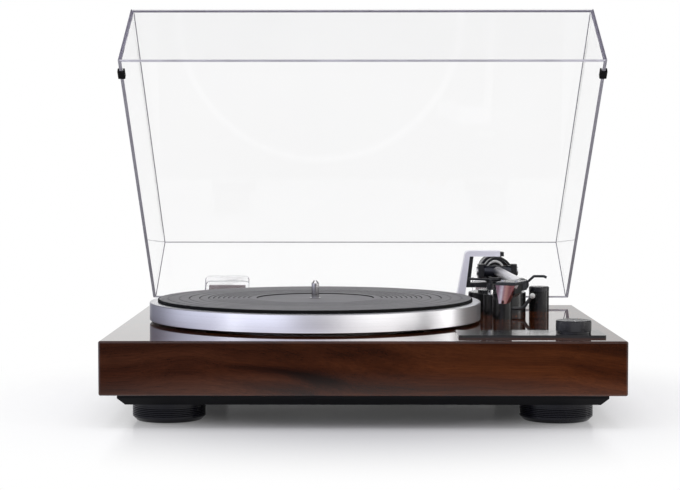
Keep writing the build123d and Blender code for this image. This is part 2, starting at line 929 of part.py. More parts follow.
def make_bearing_housing():
    bore_floor = shoulder_z_low - shaft_length - ball_gap - 2 * ball_radius
    body = rod(bearing_flange_radius, 0, bearing_flange)
    body += rod(bearing_body_radius, bore_floor - bearing_floor, bearing_flange)
    body -= rod(shaft_radius + run_fit, bore_floor, bearing_flange)
    body = Pos(spindle_x, spindle_y, deck) * body
    for place in bearing_screw_places():
        body -= place * screw_hole(machine_screw)
    return body


def make_thrust_ball():
    centre_z = shoulder_z_low - shaft_length - ball_gap - ball_radius
    return Pos(spindle_x, spindle_y, deck + centre_z) * Sphere(ball_radius)


def make_spindle():
    pin_base = mat_z_top - pin_seat_drop
    pin_top = mat_z_top + pin_height
    shaft_low = shoulder_z_low - shaft_length
    outline = [
        (0, shaft_low), (shaft_radius, shaft_low), (shaft_radius, shoulder_z_low),
        (shoulder_radius, shoulder_z_low), (shoulder_radius, shoulder_z_top),
        (pin_seat_radius, shoulder_z_top), (pin_seat_radius, pin_base), (pin_radius, pin_base),
        (pin_radius, pin_top - pin_taper), (pin_tip_radius, pin_top), (0, pin_top),
    ]
    return Pos(spindle_x, spindle_y, deck) * turned(outline)


def make_platter():
    web_low = platter_z_top - platter_web
    bore = pin_seat_radius + run_fit
    ring_inner = belt_ring_radius - belt_ring_wall
    platter = turned([
        (bore, shoulder_z_top), (hub_radius, shoulder_z_top), (hub_radius + hub_draft, web_low),
        (ring_inner, web_low), (ring_inner, belt_ring_z_low), (belt_ring_radius, belt_ring_z_low),
        (belt_ring_radius, web_low), (rim_inside - rim_draft, web_low), (rim_inside, platter_z_low),
        (platter_radius - platter_edge, platter_z_low), (platter_radius, platter_z_low + platter_edge),
        (platter_radius, platter_z_top - platter_edge), (platter_radius - platter_edge, platter_z_top),
        (bore, platter_z_top),
    ])
    access_radius = (belt_ring_radius + rim_inside) / 2
    access = Rot(0, 0, motor_bearing_deg) * Pos(access_radius, 0, 0)
    platter -= access * rod(access_hole_radius, web_low, platter_z_top)
    return Pos(spindle_x, spindle_y, deck) * platter


def make_mat():
    low = platter_z_top
    high = mat_z_top
    label = high - mat_label_depth
    mat = turned([
        (pin_seat_radius + body_gap, low), (mat_radius, low), (mat_radius, high - mat_edge),
        (mat_radius - mat_edge, high), (mat_label_radius, high), (mat_label_radius - mat_label_slope, label),
        (pin_seat_radius + body_gap, label),
    ])
    return Pos(spindle_x, spindle_y, deck) * mat


# Tonearm support

def make_arm_base():
    base = rod(turret_radius, 0, turret_height)
    base = fillet(base.edges().group_by(Axis.Z)[-1], turret_edge)
    return pivot_place * (base - rod(turret_bore_radius, 0, turret_height))


def make_arm_collar():
    top = turret_height + collar_height
    collar = rod(collar_radius, turret_height, top)
    collar = fillet(collar.edges().group_by(Axis.Z)[-1], turret_edge / 2)
    collar += rod(neck_radius, top, top + neck_height)
    return pivot_place * (collar - rod(journal_radius + run_fit, turret_height, top + neck_height))


def make_pivot_frame():
    """Black bracket open to the right: bottom bar, leaning column and top bar."""
    bar_top = frame_z_low + frame_bar
    lean = (frame_left_high - frame_left_low) / (frame_z_under_top - frame_z_low)
    inner_low = frame_left_low + frame_column + lean * frame_bar
    inner_high = frame_left_high + frame_column
    outer_top = frame_left_high + lean * frame_top_bar
    body = front_profile([
        (frame_right, frame_z_low), (frame_left_low, frame_z_low), (outer_top, frame_z_top),
        (frame_tip, frame_z_top), (frame_tip, frame_z_under_top), (inner_high, frame_z_under_top),
        (inner_low, bar_top), (frame_right, bar_top),
    ], -frame_depth / 2, frame_depth / 2)
    body -= rod(journal_radius + run_fit, frame_z_low, bar_top)
    body -= rod(pivot_screw_radius + screw_fit, frame_z_under_top, frame_z_top)
    return pivot_place * body


def make_pivot_bridge():
    """Silver cover outside the bracket: a leaning column with a foot, and a channel over the top bar."""
    lean = (frame_left_high - frame_left_low) / (frame_z_under_top - frame_z_low)
    inner_foot = frame_left_low - lean * frame_z_low
    inner_top = frame_left_low + lean * (frame_z_under_top - frame_z_low)
    half = bridge_depth / 2
    body = front_profile([
        (bridge_left_low, 0), (inner_foot, 0), (inner_top, frame_z_under_top),
        (bridge_right, frame_z_under_top), (bridge_right, bridge_z_top), (bridge_left_high, bridge_z_top),
    ], -half, half)
    corner = body.edges().filter_by(Axis.Y).group_by(Axis.Z)[-1].sort_by(Axis.X)[0]
    body = fillet(corner, bridge_corner)
    channel = front_profile([
        (inner_top, frame_z_under_top), (inner_top + lean * frame_top_bar, frame_z_top),
        (bridge_right, frame_z_top), (bridge_right, frame_z_under_top),
    ], -frame_depth / 2, frame_depth / 2)
    body -= channel
    body += slab(bridge_foot_left, bridge_left_low + lean, -half, half, 0, bridge_foot_height)
    body = pivot_place * body
    for place in bridge_screw_places():
        body -= place * screw_hole(machine_screw)
    return body


def make_pivot_screw():
    yoke_z_top = arm_z + yoke_radius
    tip_low = yoke_z_top - yoke_cup_depth + 2 * run_fit
    screw_low = yoke_z_top + body_gap
    body = turned([
        (0, tip_low), (pivot_tip_radius, tip_low), (pivot_tip_radius, screw_low),
        (pivot_screw_radius, screw_low + pivot_tip), (pivot_screw_radius, frame_z_top), (0, frame_z_top),
    ])
    slot = slab(
        -pivot_screw_radius, pivot_screw_radius, -pivot_slot_half_width, pivot_slot_half_width,
        frame_z_top - pivot_slot_depth, frame_z_top,
    )
    return pivot_place * (body - slot)


def make_antiskate_post():
    post = rod(skate_radius, 0, skate_height) - rod(
        skate_stem_radius + run_fit, skate_height - skate_stem - body_gap, skate_height
    )
    return Pos(skate_x, skate_y, deck) * post


def make_antiskate_dial():
    low = skate_height + body_gap
    dial = rod(skate_dial_radius, low, skate_dial_z_top)
    dial = chamfer(dial.edges().group_by(Axis.Z)[-1], knob_chamfer)
    dial -= slab(-knob_mark_width / 2, knob_mark_width / 2, -skate_dial_radius, -skate_dial_radius / 2,
                 skate_dial_z_top - knob_mark_depth, skate_dial_z_top)
    dial += rod(skate_stem_radius, skate_height - skate_stem, low)
    return Pos(skate_x, skate_y, deck) * dial


def make_arm_rest():
    """Post beside the parked tube, with a cradle that is open towards the platter."""
    reach = tube_place * Pos(0, -rest_distance, 0)
    tube_x = reach.position.X
    tube_y = reach.position.Y
    post_x = tube_x - rest_post_side
    base_z = cradle_floor_z - cradle_floor
    post = rod(rest_post_radius, 0, rest_post_height, post_x, tube_y)
    post += rod(rest_neck_radius, rest_post_height, base_z, post_x, tube_y)
    lip_x = tube_x + tube_radius + joint_gap
    half = cradle_width / 2
    floor_left = tube_x - cradle_left
    floor_right = lip_x + cradle_lip
    post += slab(floor_left, floor_right, tube_y - half, tube_y + half, base_z, cradle_floor_z)
    post += slab(lip_x, lip_x + cradle_lip, tube_y - half, tube_y + half, base_z, cradle_lip_z)
    return Pos(0, 0, deck) * post


# Cue lift

def make_lift_housing():
    body = rod(lift_housing_radius, 0, lift_housing_height)
    body -= rod(piston_radius + run_fit, lift_housing_floor, lift_housing_height)
    body -= bar(lever_radius + run_fit, (0, 0, lever_z), (2 * lift_housing_radius, 0, lever_z))
    return lift_place * body


def make_lift_piston():
    return lift_place * rod(piston_radius, piston_z_low, piston_z_top)


def make_lift_rail():
    rail_z = arm_z - tube_radius - body_gap - rail_radius
    collar = rod(rail_collar_radius, piston_z_top, piston_z_top + rail_collar_height)
    stem = rod(rail_stem_radius, piston_z_top, rail_z)
    section = Plane.XZ * Pos(lift_radius, rail_z) * Circle(rail_radius)
    arc = Rot(0, 0, rail_start_deg) * revolve(section, Axis.Z, rail_sweep_deg)
    return lift_place * (collar + stem) + pivot_place * arc


def make_cue_lever():
    start = lever_radius + body_gap
    lever = wire([
        (start, 0, lever_z), (lever_straight, 0, lever_z), (lever_end, 0, lever_ball_z),
    ], lever_radius, lever_corner)
    lever += Pos(lever_end, 0, lever_ball_z) * Sphere(lever_ball_radius)
    return lift_place * lever


# Tonearm, made along -Y with the vertical pivot at X = Y = 0

def above(shape, low):
    """The part of a flat shape about the tube's centre line that lies above a height."""
    reach = 2 * yoke_radius
    return shape & Pos(0, low + reach / 2) * Rectangle(2 * reach, reach)


def make_yoke():
    """Ring round the arm's crossing, with a cheek on each side and a journal below."""
    outer = above(Circle(yoke_radius), yoke_z_low - arm_z)
    outer += Rectangle(2 * yoke_half_width, 2 * cheek_half_height)
    inner = above(Circle(yoke_inner_radius), yoke_z_low + yoke_bar - arm_z)
    inner += Rectangle(2 * yoke_inner_half_width, 2 * slot_half_height)
    middle = Plane(origin=(0, 0, arm_z), x_dir=(1, 0, 0), z_dir=(0, -1, 0))
    frame = extrude(middle * (outer - inner), yoke_depth / 2, both=True)
    for side in (-1, 1):
        inside = (side * yoke_inner_half_width, 0, arm_z)
        outside = (side * yoke_half_width, 0, arm_z)
        frame -= bar(side_pivot_radius + screw_fit, inside, outside)
    frame += rod(journal_radius, yoke_z_low - journal_length, yoke_z_low + yoke_bar / 2)
    yoke_z_top = arm_z + yoke_radius
    frame -= rod(pivot_tip_radius + run_fit, yoke_z_top - yoke_cup_depth, yoke_z_top)
    return tube_place * frame


def make_side_pivots():
    pivots = []
    for side in (-1, 1):
        inner = side * (yoke_inner_half_width + body_gap)
        outer = side * yoke_half_width
        head = side * (yoke_half_width + side_pivot_head)
        pivot = bar(side_pivot_radius, (inner, 0, arm_z), (outer, 0, arm_z))
        pivot += bar(side_pivot_head_radius, (outer, 0, arm_z), (head, 0, arm_z))
        pivot -= bar(axle_radius + run_fit, (inner, 0, arm_z), (outer, 0, arm_z))
        pivots.append(tube_place * pivot)
    return pivots


def make_axle():
    reach = yoke_half_width - body_gap
    return tube_place * bar(axle_radius, (-reach, 0, arm_z), (reach, 0, arm_z))


def make_arm_tube():
    half = yoke_inner_half_width - body_gap
    body = bar(cross_radius, (-half, 0, arm_z), (half, 0, arm_z))
    body += bar(tube_radius, (0, -tube_end, arm_z), (0, 0, arm_z))
    body += bar(socket_radius, (0, -tube_end, arm_z), (0, socket_length - tube_end, arm_z))
    body += bar(stub_radius, (0, 0, arm_z), (0, stub_length, arm_z))
    body -= bar(axle_radius + run_fit, (-half, 0, arm_z), (half, 0, arm_z))
    body -= bar(tube_radius - tube_wall, (0, -tube_end, arm_z), (0, -tube_bore_end, arm_z))
    return tube_place * body


def ring_on_stub(radius, near, far, groove=0.0):
    ring = bar(radius, (0, near, arm_z), (0, far, arm_z))
    if groove:
        middle = (near + far) / 2
        cut = bar(radius, (0, middle - groove, arm_z), (0, middle + groove, arm_z))
        cut -= bar(radius - groove, (0, middle - groove, arm_z), (0, middle + groove, arm_z))
        ring -= cut
    return ring - bar(stub_radius + run_fit, (0, near, arm_z), (0, far, arm_z))


def make_counterweight():
    return tube_place * ring_on_stub(weight_radius, weight_near, weight_far, weight_groove)


def make_force_dial():
    return tube_place * ring_on_stub(dial_radius, dial_near, dial_far)


# Headshell and cartridge, made with the stylus at X = Y = 0 and the front towards -Y

def make_headshell():
    plate = slab(-shell_half_width, shell_half_width, shell_front, shell_rear, shell_z_low, shell_z_top)
    plate = fillet(plate.edges().filter_by(Axis.Z), shell_corner)
    neck_z_low = arm_z - shell_neck_half_width
    plate += slab(
        -shell_neck_half_width, shell_neck_half_width,
        shell_rear - 2 * shell_corner, shell_reach - shell_corner,
        neck_z_low, shell_z_top,
    )
    for side in (-1, 1):
        plate -= Pos(side * cartridge_screw_x, cartridge_screw_y, shell_z_top) * screw_hole(shell_screw)
    finger_z = shell_z_top - lift_wire_radius
    route = [(shell_half_width + out, lift_wire_y, finger_z + up) for out, up in lift_wire_route]
    plate += wire(route, lift_wire_radius, lift_wire_radius)
    shell = shell_place * plate
    plug_front = -tube_end - tube_socket - shell_plug_overlap
    plug = bar(socket_radius, (0, plug_front, arm_z), (0, -tube_end, arm_z))
    shell -= tube_place * bar(2 * socket_radius, (0, -tube_end, arm_z), (0, 0, arm_z))
    return shell + tube_place * plug


def make_headshell_screws():
    return [
        shell_place * Pos(side * cartridge_screw_x, cartridge_screw_y, shell_z_top) * screw(shell_screw)
        for side in (-1, 1)
    ]


def level_rectangle(half_width, front, rear, height):
    """Face on the level, between two distances from the stylus."""
    return Pos(0, (front + rear) / 2, height) * Rectangle(2 * half_width, rear - front)


def stylus_wedge():
    """Block that narrows downwards and leans forwards."""
    top = level_rectangle(flange_half_width, stylus_top_front, stylus_top_rear, flange_z_low)
    low = level_rectangle(stylus_low_half_width, stylus_low_front, stylus_low_rear, stylus_z_low)
    return loft([top, low])


def make_cartridge():
    body = slab(
        -cartridge_half_width, cartridge_half_width, cartridge_front, cartridge_rear,
        cartridge_z_low, flange_z_low,
    )
    body = chamfer(body.edges().group_by(Axis.Z)[0], cartridge_bevel)
    body -= stylus_wedge()
    body += slab(
        -flange_half_width, flange_half_width, stylus_top_front, flange_rear, flange_z_low, shell_z_low
    )
    for side in (-1, 1):
        body -= Pos(side * cartridge_screw_x, cartridge_screw_y, shell_z_top) * screw_hole(shell_screw)
    return shell_place * body


def make_stylus_unit():
    body = stylus_wedge()
    body -= slab(
        -stylus_slot_half_width, stylus_slot_half_width, 2 * stylus_low_front, stylus_slot_rear,
        stylus_z_low, stylus_slot_z_top,
    )
    tip_z = stylus_z + cantilever_radius
    root = (0, stylus_slot_rear + cantilever_root, stylus_slot_z_top - cantilever_root)
    body += bar(cantilever_radius, root, (0, 0, tip_z))
    body += Pos(0, 0, tip_z) * Sphere(cantilever_radius)
    return shell_place * body


# Lid, made closed and turned open about the hinge

def opened(shape):
    return shape.rotate(open_hinge, -lid_open_deg)


def lid_block(shrink, height):
    """Tapered block: shrink is how far its sides stand in from the lid's outer face."""
    outline = Rectangle(2 * (lid_half_width - shrink), lid_rear - lid_front - 2 * shrink)
    place = Pos(0, (lid_rear + lid_front) / 2, rim_z)
    return place * extrude(outline, height, taper=lid_taper_deg)


def make_lid_closed():
    return lid_block(0, lid_height) - lid_block(lid_wall, lid_height - lid_wall)


def make_sockets_closed():
    sockets = []
    for side in (-1, 1):
        x = side * hinge_x
        rear = tongue_rear + body_gap + socket_wall
        block = slab(
            x - socket_half_width, x + socket_half_width, lid_rear - lid_taper_inset, rear,
            rim_z, rim_z + socket_height,
        )
        block = fillet(block.edges().filter_by(Axis.Y).group_by(Axis.Z)[-1], socket_corner)
        block -= lid_block(0, lid_height)
        block -= slab(
            x - tongue_half_width - body_gap, x + tongue_half_width + body_gap,
            tongue_front - body_gap, tongue_rear + body_gap,
            rim_z, rim_z + tongue_above_rim + body_gap,
        )
        sockets.append(block)
    return sockets


def make_bumpers_closed():
    low = deck + body_gap
    y_low = lid_front + bumper_from_front
    bumpers = []
    for side in (-1, 1):
        middle = side * (lid_half_width - lid_wall / 2)
        block = slab(
            middle - bumper_width / 2, middle + bumper_width / 2, y_low, y_low + bumper_length,
            low, rim_z + bumper_above_rim,
        )
        block = fillet(block.edges().filter_by(Axis.Y), bumper_edge)
        bumpers.append(block - make_lid_closed())
    return bumpers


def make_hinge_arms_closed():
    arms = []
    for side in (-1, 1):
        x = side * hinge_x
        x_low = x - tongue_half_width
        x_high = x + tongue_half_width
        arm = side_profile([
            (tongue_front, rim_z + tongue_above_rim), (tongue_front, tongue_low),
            (hinge_y - barrel_radius * web_start_rear, hinge_z - barrel_radius * web_start_below),
            (hinge_y + barrel_radius * web_end_rear, hinge_z + barrel_radius * web_end_above),
            (tongue_rear, web_high), (tongue_rear, rim_z + tongue_above_rim),
        ], x_low, x_high)
        arm += bar(barrel_radius, (x_low, hinge_y, hinge_z), (x_high, hinge_y, hinge_z))
        arm -= bar(hinge_pin_radius + run_fit, (x_low, hinge_y, hinge_z), (x_high, hinge_y, hinge_z))
        arms.append(arm)
    return arms


def make_hinge_brackets():
    brackets = []
    for side in (-1, 1):
        x = side * hinge_x
        ear_in = tongue_half_width + joint_gap
        ear_out = ear_in + ear_thickness
        body = slab(
            x - ear_out, x + ear_out, half_depth, half_depth + bracket_plate, bracket_low, bracket_high
        )
        for ear in (-1, 1):
            low = x + ear * ear_in
            high = x + ear * ear_out
            ear_profile = [
                (half_depth, bracket_low), (half_depth + bracket_plate, bracket_low),
                (hinge_y, hinge_z - barrel_radius), (hinge_y, hinge_z + barrel_radius),
                (half_depth, hinge_z + barrel_radius),
            ]
            body += side_profile(ear_profile, min(low, high), max(low, high))
            body += bar(barrel_radius, (low, hinge_y, hinge_z), (high, hinge_y, hinge_z))
        bore = hinge_pin_radius + screw_fit
        body -= bar(bore, (x - ear_out, hinge_y, hinge_z), (x + ear_out, hinge_y, hinge_z))
        brackets.append(body)
    for place in hinge_screw_places():
        brackets = [body - place * screw_hole(hinge_screw) for body in brackets]
    return brackets


def make_hinge_pins():
    reach = tongue_half_width + joint_gap + ear_thickness
    pins = []
    for side in (-1, 1):
        x = side * hinge_x
        pin = bar(hinge_pin_radius, (x - reach, hinge_y, hinge_z), (x + reach, hinge_y, hinge_z))
        pin += bar(pin_head_radius, (x + reach, hinge_y, hinge_z), (x + reach + pin_head, hinge_y, hinge_z))
        pins.append(pin)
    return pins


def make_machine_screws():
    places = bearing_screw_places() + motor_plate_screw_places() + motor_screw_places()
    places += board_screw_places() + panel_screw_places() + bridge_screw_places()
    return [place * screw(machine_screw) for place in places]


def make_cover_screws():
    seat = Pos(0, 0, tray_bottom + cover_screw[1]) * Rot(180, 0, 0)
    return [place * seat * screw(cover_screw) for place in cover_screw_places()]


def make_foot_screws():
    seat = Pos(0, 0, pad_height + pad_seat + foot_screw[1]) * Rot(180, 0, 0)
    return [place * seat * screw(foot_screw) for place in foot_places()]


def make_hinge_screws():
    return [place * screw(hinge_screw) for place in hinge_screw_places()]


def main():
    os.makedirs("parts", exist_ok=True)
    write("plinth", make_plinth())
    write("base_cover", make_base_cover())
    write("cover_screws", *make_cover_screws())
    foot_names = ["foot_front_left", "foot_front_right", "foot_rear_left", "foot_rear_right"]
    for name, place in zip(foot_names, foot_places()):
        write(name, make_foot(place))
    write("foot_pads", *[make_foot_pad(place) for place in foot_places()])
    write("foot_screws", *make_foot_screws())
    write("control_plate", make_control_plate())
    write("speed_knob", make_speed_knob())
    write("speed_switch", make_speed_switch())
    write("main_board", make_main_board())
    write("machine_screws", *make_machine_screws())
    write("wiring", *make_wiring())
    write("jack_panel", make_jack_panel())
    write("phono_jacks", make_phono_jack(jack_left_x), make_phono_jack(jack_right_x))
    write("ground_post", *make_ground_post())
    write("power_inlet", make_power_inlet())
    write("motor", make_motor())
    write("motor_plate", make_motor_plate())
    write("motor_grommets", *make_grommets())
    write("motor_shaft", make_motor_shaft())
    write("motor_pulley", make_pulley())
    write("drive_belt", make_belt())
    write("bearing_housing", make_bearing_housing())
    write("thrust_ball", make_thrust_ball())
    write("spindle", make_spindle())
    write("platter", make_platter())
    write("platter_mat", make_mat())
    write("arm_base", make_arm_base())
    write("arm_collar", make_arm_collar())
    write("pivot_frame", make_pivot_frame())
    write("pivot_bridge", make_pivot_bridge())
    write("pivot_screw", make_pivot_screw())
    write("arm_yoke", make_yoke())
    write("side_pivots", *make_side_pivots())
    write("arm_axle", make_axle())
    write("arm_tube", make_arm_tube())
    write("counterweight", make_counterweight())
    write("force_dial", make_force_dial())
    write("headshell", make_headshell())
    write("headshell_screws", *make_headshell_screws())
    write("cartridge", make_cartridge())
    write("stylus_unit", make_stylus_unit())
    write("arm_rest", make_arm_rest())
    write("lift_housing", make_lift_housing())
    write("lift_piston", make_lift_piston())
    write("lift_rail", make_lift_rail())
    write("cue_lever", make_cue_lever())
    write("antiskate_post", make_antiskate_post())
    write("antiskate_dial", make_antiskate_dial())
    write("lid", opened(make_lid_closed()))
    write("hinge_sockets", *[opened(shape) for shape in make_sockets_closed()])
    write("lid_bumpers", *[opened(shape) for shape in make_bumpers_closed()])
    write("hinge_arms", *[opened(shape) for shape in make_hinge_arms_closed()])
    write("hinge_brackets", *make_hinge_brackets())
    write("hinge_pins", *make_hinge_pins())
    write("hinge_screws", *make_hinge_screws())


if __name__ == "__main__":
    main()
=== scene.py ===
# %% [markdown]
# # A belt-driven record player
#
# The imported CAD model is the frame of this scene: every node of it is already in its right place,
# in metres, with the floor at Z = 0 and the front towards -Y. What is left for Blender is how the
# player looks: the lacquered wood, the turned metal, the moulded blacks, the clear lid, and the
# small shapes that a CAD model leaves sharp and plain.

import math

import bmesh
import bpy
from mathutils import Matrix, Vector


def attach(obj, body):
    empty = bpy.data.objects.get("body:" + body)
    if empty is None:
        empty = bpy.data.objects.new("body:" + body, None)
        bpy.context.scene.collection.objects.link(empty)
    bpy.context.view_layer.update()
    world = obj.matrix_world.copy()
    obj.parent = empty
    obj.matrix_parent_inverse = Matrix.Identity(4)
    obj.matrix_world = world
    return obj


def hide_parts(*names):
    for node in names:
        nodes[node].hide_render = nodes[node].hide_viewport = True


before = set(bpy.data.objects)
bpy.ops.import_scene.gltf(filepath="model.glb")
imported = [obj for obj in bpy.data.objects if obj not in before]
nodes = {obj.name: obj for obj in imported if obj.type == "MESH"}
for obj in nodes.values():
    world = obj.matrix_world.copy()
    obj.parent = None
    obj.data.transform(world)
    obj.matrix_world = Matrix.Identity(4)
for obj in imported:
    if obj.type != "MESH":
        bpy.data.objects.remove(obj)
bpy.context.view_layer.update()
MM = 0.001

# %% [markdown]
# ## Where the camera stands
#
# The photograph is taken with a long lens, a little above the lid's hinges and almost level, so
# the deck is seen as a thin strip. A long lens keeps the plinth's upright edges parallel, which
# is why it is the usual choice for a catalogue picture. The lens and place here were solved from
# the corners of the plinth and the lid.

# %% Camera
camera_data = bpy.data.cameras.new("catalogue_camera")
camera_data.lens = 92.8
camera_data.sensor_width = 36.0
camera = bpy.data.objects.new("catalogue_camera", camera_data)
bpy.context.scene.collection.objects.link(camera)
camera.location = (-0.0096, -1.6145, 0.2196)
camera.rotation_euler = (math.radians(87.28), 0.0, math.radians(0.37))
bpy.context.scene.camera = camera
bpy.context.scene.view_settings.view_transform = "Standard"
print("camera", tuple(round(x, 3) for x in camera.location), "lens", camera_data.lens)

# %% [markdown]
# ## Building shaders from nodes
#
# A procedural material is a small network. Two helpers keep the cells short: `add` places one
# node and connects it, and `new_material` gives a Principled shader with its plain values set on
# the shader's own sockets. The others are each one kind of node with its usual settings. All
# patterns read Object coordinates, so one unit is one metre and a grain of 0.4 mm is asked for as
# a scale of 2500.


# %% Helpers for shader nodes
def add(tree, kind, links=None, **settings):
    """One node, with its settings, its plain input values and its incoming links."""
    node = tree.nodes.new(kind)
    for key, value in settings.items():
        setattr(node, key, value)
    for socket, source in (links or {}).items():
        if isinstance(source, bpy.types.NodeSocket):
            tree.links.new(source, node.inputs[socket])
        else:
            node.inputs[socket].default_value = source
    return node


def maths(tree, operation, a, b=0.0, clamp=False):
    """One sum on two numbers or sockets."""
    return add(tree, "ShaderNodeMath", {0: a, 1: b}, operation=operation, use_clamp=clamp).outputs[0]


def mix_colours(tree, share, a, b, mode="MIX"):
    """Colour a where the share is 0 and colour b, or a blend of both, where it is 1."""
    links = {0: share, 6: a, 7: b}
    return add(tree, "ShaderNodeMix", links, data_type="RGBA", blend_type=mode).outputs[2]


def scale_colour(tree, colour, factor):
    links = {0: colour, "Scale": factor}
    return add(tree, "ShaderNodeVectorMath", links, operation="SCALE").outputs[0]


def remap(tree, value, low, high, to_low, to_high, **settings):
    """Moves a value from one range to another and holds it at the ends."""
    links = {"Value": value, "From Min": low, "From Max": high, "To Min": to_low, "To Max": to_high}
    return add(tree, "ShaderNodeMapRange", links, **settings).outputs[0]


def spread(tree, value, to_low, to_high):
    """Stretches a noise, most of which lies between 0.3 and 0.7, over a range."""
    return remap(tree, value, 0.3, 0.7, to_low, to_high)


def fade(tree, value, low, high, to_low=0.0, to_high=1.0):
    """A remap that starts and ends softly."""
    return remap(tree, value, low, high, to_low, to_high, interpolation_type="SMOOTHSTEP")


def stretched(tree, vector, scale):
    """Coordinates with a scale for each direction, so that a pattern can be long one way."""
    links = {"Vector": vector, "Scale": scale}
    return add(tree, "ShaderNodeMapping", links).outputs[0]


def noise(tree, vector, scale, detail=3.0, roughness=0.5, distortion=0.0):
    links = {"Vector": vector, "Scale": scale, "Detail": detail, "Roughness": roughness}
    links["Distortion"] = distortion
    return add(tree, "ShaderNodeTexNoise", links).outputs[0]


def ramp(tree, value, stops):
    """Colour ramp from (place, colour) stops."""
    node = add(tree, "ShaderNodeValToRGB", {0: value})
    elements = node.color_ramp.elements
    while len(elements) < len(stops):
        elements.new(0.5)
    for element, (place, colour) in zip(elements, stops):
        element.position = place
        element.color = (*colour, 1.0)
    return node.outputs[0]


print("node helpers", [f.__name__ for f in (add, maths, mix_colours, remap, spread, fade, noise, ramp)])


# %% Helpers for groups and materials
def new_group(name, inputs, outputs):
    """An empty node group with named float, colour or vector sockets."""
    kinds = {"f": "NodeSocketFloat", "c": "NodeSocketColor", "v": "NodeSocketVector"}
    group = bpy.data.node_groups.new(name, "ShaderNodeTree")
    for socket, kind, value in inputs:
        made = group.interface.new_socket(name=socket, in_out="INPUT", socket_type=kinds[kind])
        if value is not None:
            made.default_value = value
    for socket, kind in outputs:
        group.interface.new_socket(name=socket, in_out="OUTPUT", socket_type=kinds[kind])
    start = group.nodes.new("NodeGroupInput")
    end = group.nodes.new("NodeGroupOutput")
    return group, start, end


def use_group(tree, group, links):
    return add(tree, "ShaderNodeGroup", links, node_tree=group)


def new_material(name, **values):
    """A Principled material. A value's name is its socket's, with _ for a space."""
    material = bpy.data.materials.new(name)
    material.use_nodes = True
    shader = material.node_tree.nodes["Principled BSDF"]
    for socket, value in values.items():
        shader.inputs[socket.replace("_", " ")].default_value = value
    return material, material.node_tree, shader


def object_coordinates(tree):
    return add(tree, "ShaderNodeTexCoord").outputs["Object"]


def bump(tree, shader, height, strength, distance_mm):
    """Lets a height in a pattern tilt the surface as if it were that many millimetres deep."""
    links = {"Height": height, "Strength": strength, "Distance": distance_mm * MM}
    tree.links.new(add(tree, "ShaderNodeBump", links).outputs[0], shader.inputs["Normal"])


print("material helpers", [f.__name__ for f in (new_group, use_group, new_material, bump)])

# %% [markdown]
# ## Surface effects that several finishes share
#
# *Moulded grain* is the fine spark-eroded texture of injection moulded housings, with a faint
# unevenness in its gloss. *Turned lines* are the rings that a lathe tool leaves about an axis.
# *Handling* is the soft change in gloss where hands and cloths have been. Each is a node group
# that gives colours, heights and roughness only, so the shader itself stays in the material.

# %% Node group for moulded grain
grain_group, start, end = new_group(
    "moulded_grain",
    [("Vector", "v", None), ("Colour", "c", (0.02, 0.02, 0.02, 1.0)), ("Grain scale", "f", 2200.0),
     ("Low gloss", "f", 0.5), ("High gloss", "f", 0.36)],
    [("Colour", "c"), ("Roughness", "f"), ("Height", "f")],
)
given = start.outputs
grain = noise(grain_group, given["Vector"], given["Grain scale"], 4.0, 0.6)
cloud = noise(grain_group, given["Vector"], 38.0, 3.0, 0.55)
tone = maths(
    grain_group, "MULTIPLY", spread(grain_group, cloud, 0.88, 1.12), spread(grain_group, grain, 0.9, 1.1)
)
gloss = spread(grain_group, cloud, given["High gloss"], given["Low gloss"])
grain_group.links.new(scale_colour(grain_group, given["Colour"], tone), end.inputs["Colour"])
grain_group.links.new(gloss, end.inputs["Roughness"])
grain_group.links.new(grain, end.inputs["Height"])
print("moulded grain", len(grain_group.nodes), "nodes")

# %% Node group for turned lines
turned_group, start, end = new_group(
    "turned_lines",
    [("Vector", "v", None), ("Lines per metre", "f", 2500.0), ("Low gloss", "f", 0.4),
     ("High gloss", "f", 0.25)],
    [("Tone", "f"), ("Roughness", "f"), ("Height", "f")],
)
given = start.outputs
parts = add(turned_group, "ShaderNodeSeparateXYZ", {0: given["Vector"]}).outputs
square_x = maths(turned_group, "MULTIPLY", parts[0], parts[0])
square_y = maths(turned_group, "MULTIPLY", parts[1], parts[1])
radius = maths(turned_group, "SQRT", maths(turned_group, "ADD", square_x, square_y))
across = add(turned_group, "ShaderNodeCombineXYZ", {0: radius, 1: parts[2]}).outputs[0]
links = {"Vector": across, "Scale": given["Lines per metre"], "Detail": 3.0}
lines = add(turned_group, "ShaderNodeTexNoise", links, noise_dimensions="2D").outputs[0]
broad = noise(turned_group, across, 160.0, 2.0)
gloss = spread(turned_group, broad, given["High gloss"], given["Low gloss"])
turned_group.links.new(spread(turned_group, lines, 0.93, 1.05), end.inputs["Tone"])
turned_group.links.new(gloss, end.inputs["Roughness"])
turned_group.links.new(lines, end.inputs["Height"])
print("turned lines", len(turned_group.nodes), "nodes")

# %% Node group for handling
handling_group, start, end = new_group(
    "handling",
    [("Vector", "v", None), ("Clean", "f", 0.04), ("Handled", "f", 0.1), ("Patch scale", "f", 14.0)],
    [("Roughness", "f")],
)
given = start.outputs
patch = noise(handling_group, given["Vector"], given["Patch scale"], 5.0, 0.6, 0.4)
touched = remap(handling_group, patch, 0.45, 0.75, 0.0, 1.0)
gloss = remap(handling_group, touched, 0.0, 1.0, given["Clean"], given["Handled"])
handling_group.links.new(gloss, end.inputs["Roughness"])
print("groups", [g.name for g in bpy.data.node_groups])
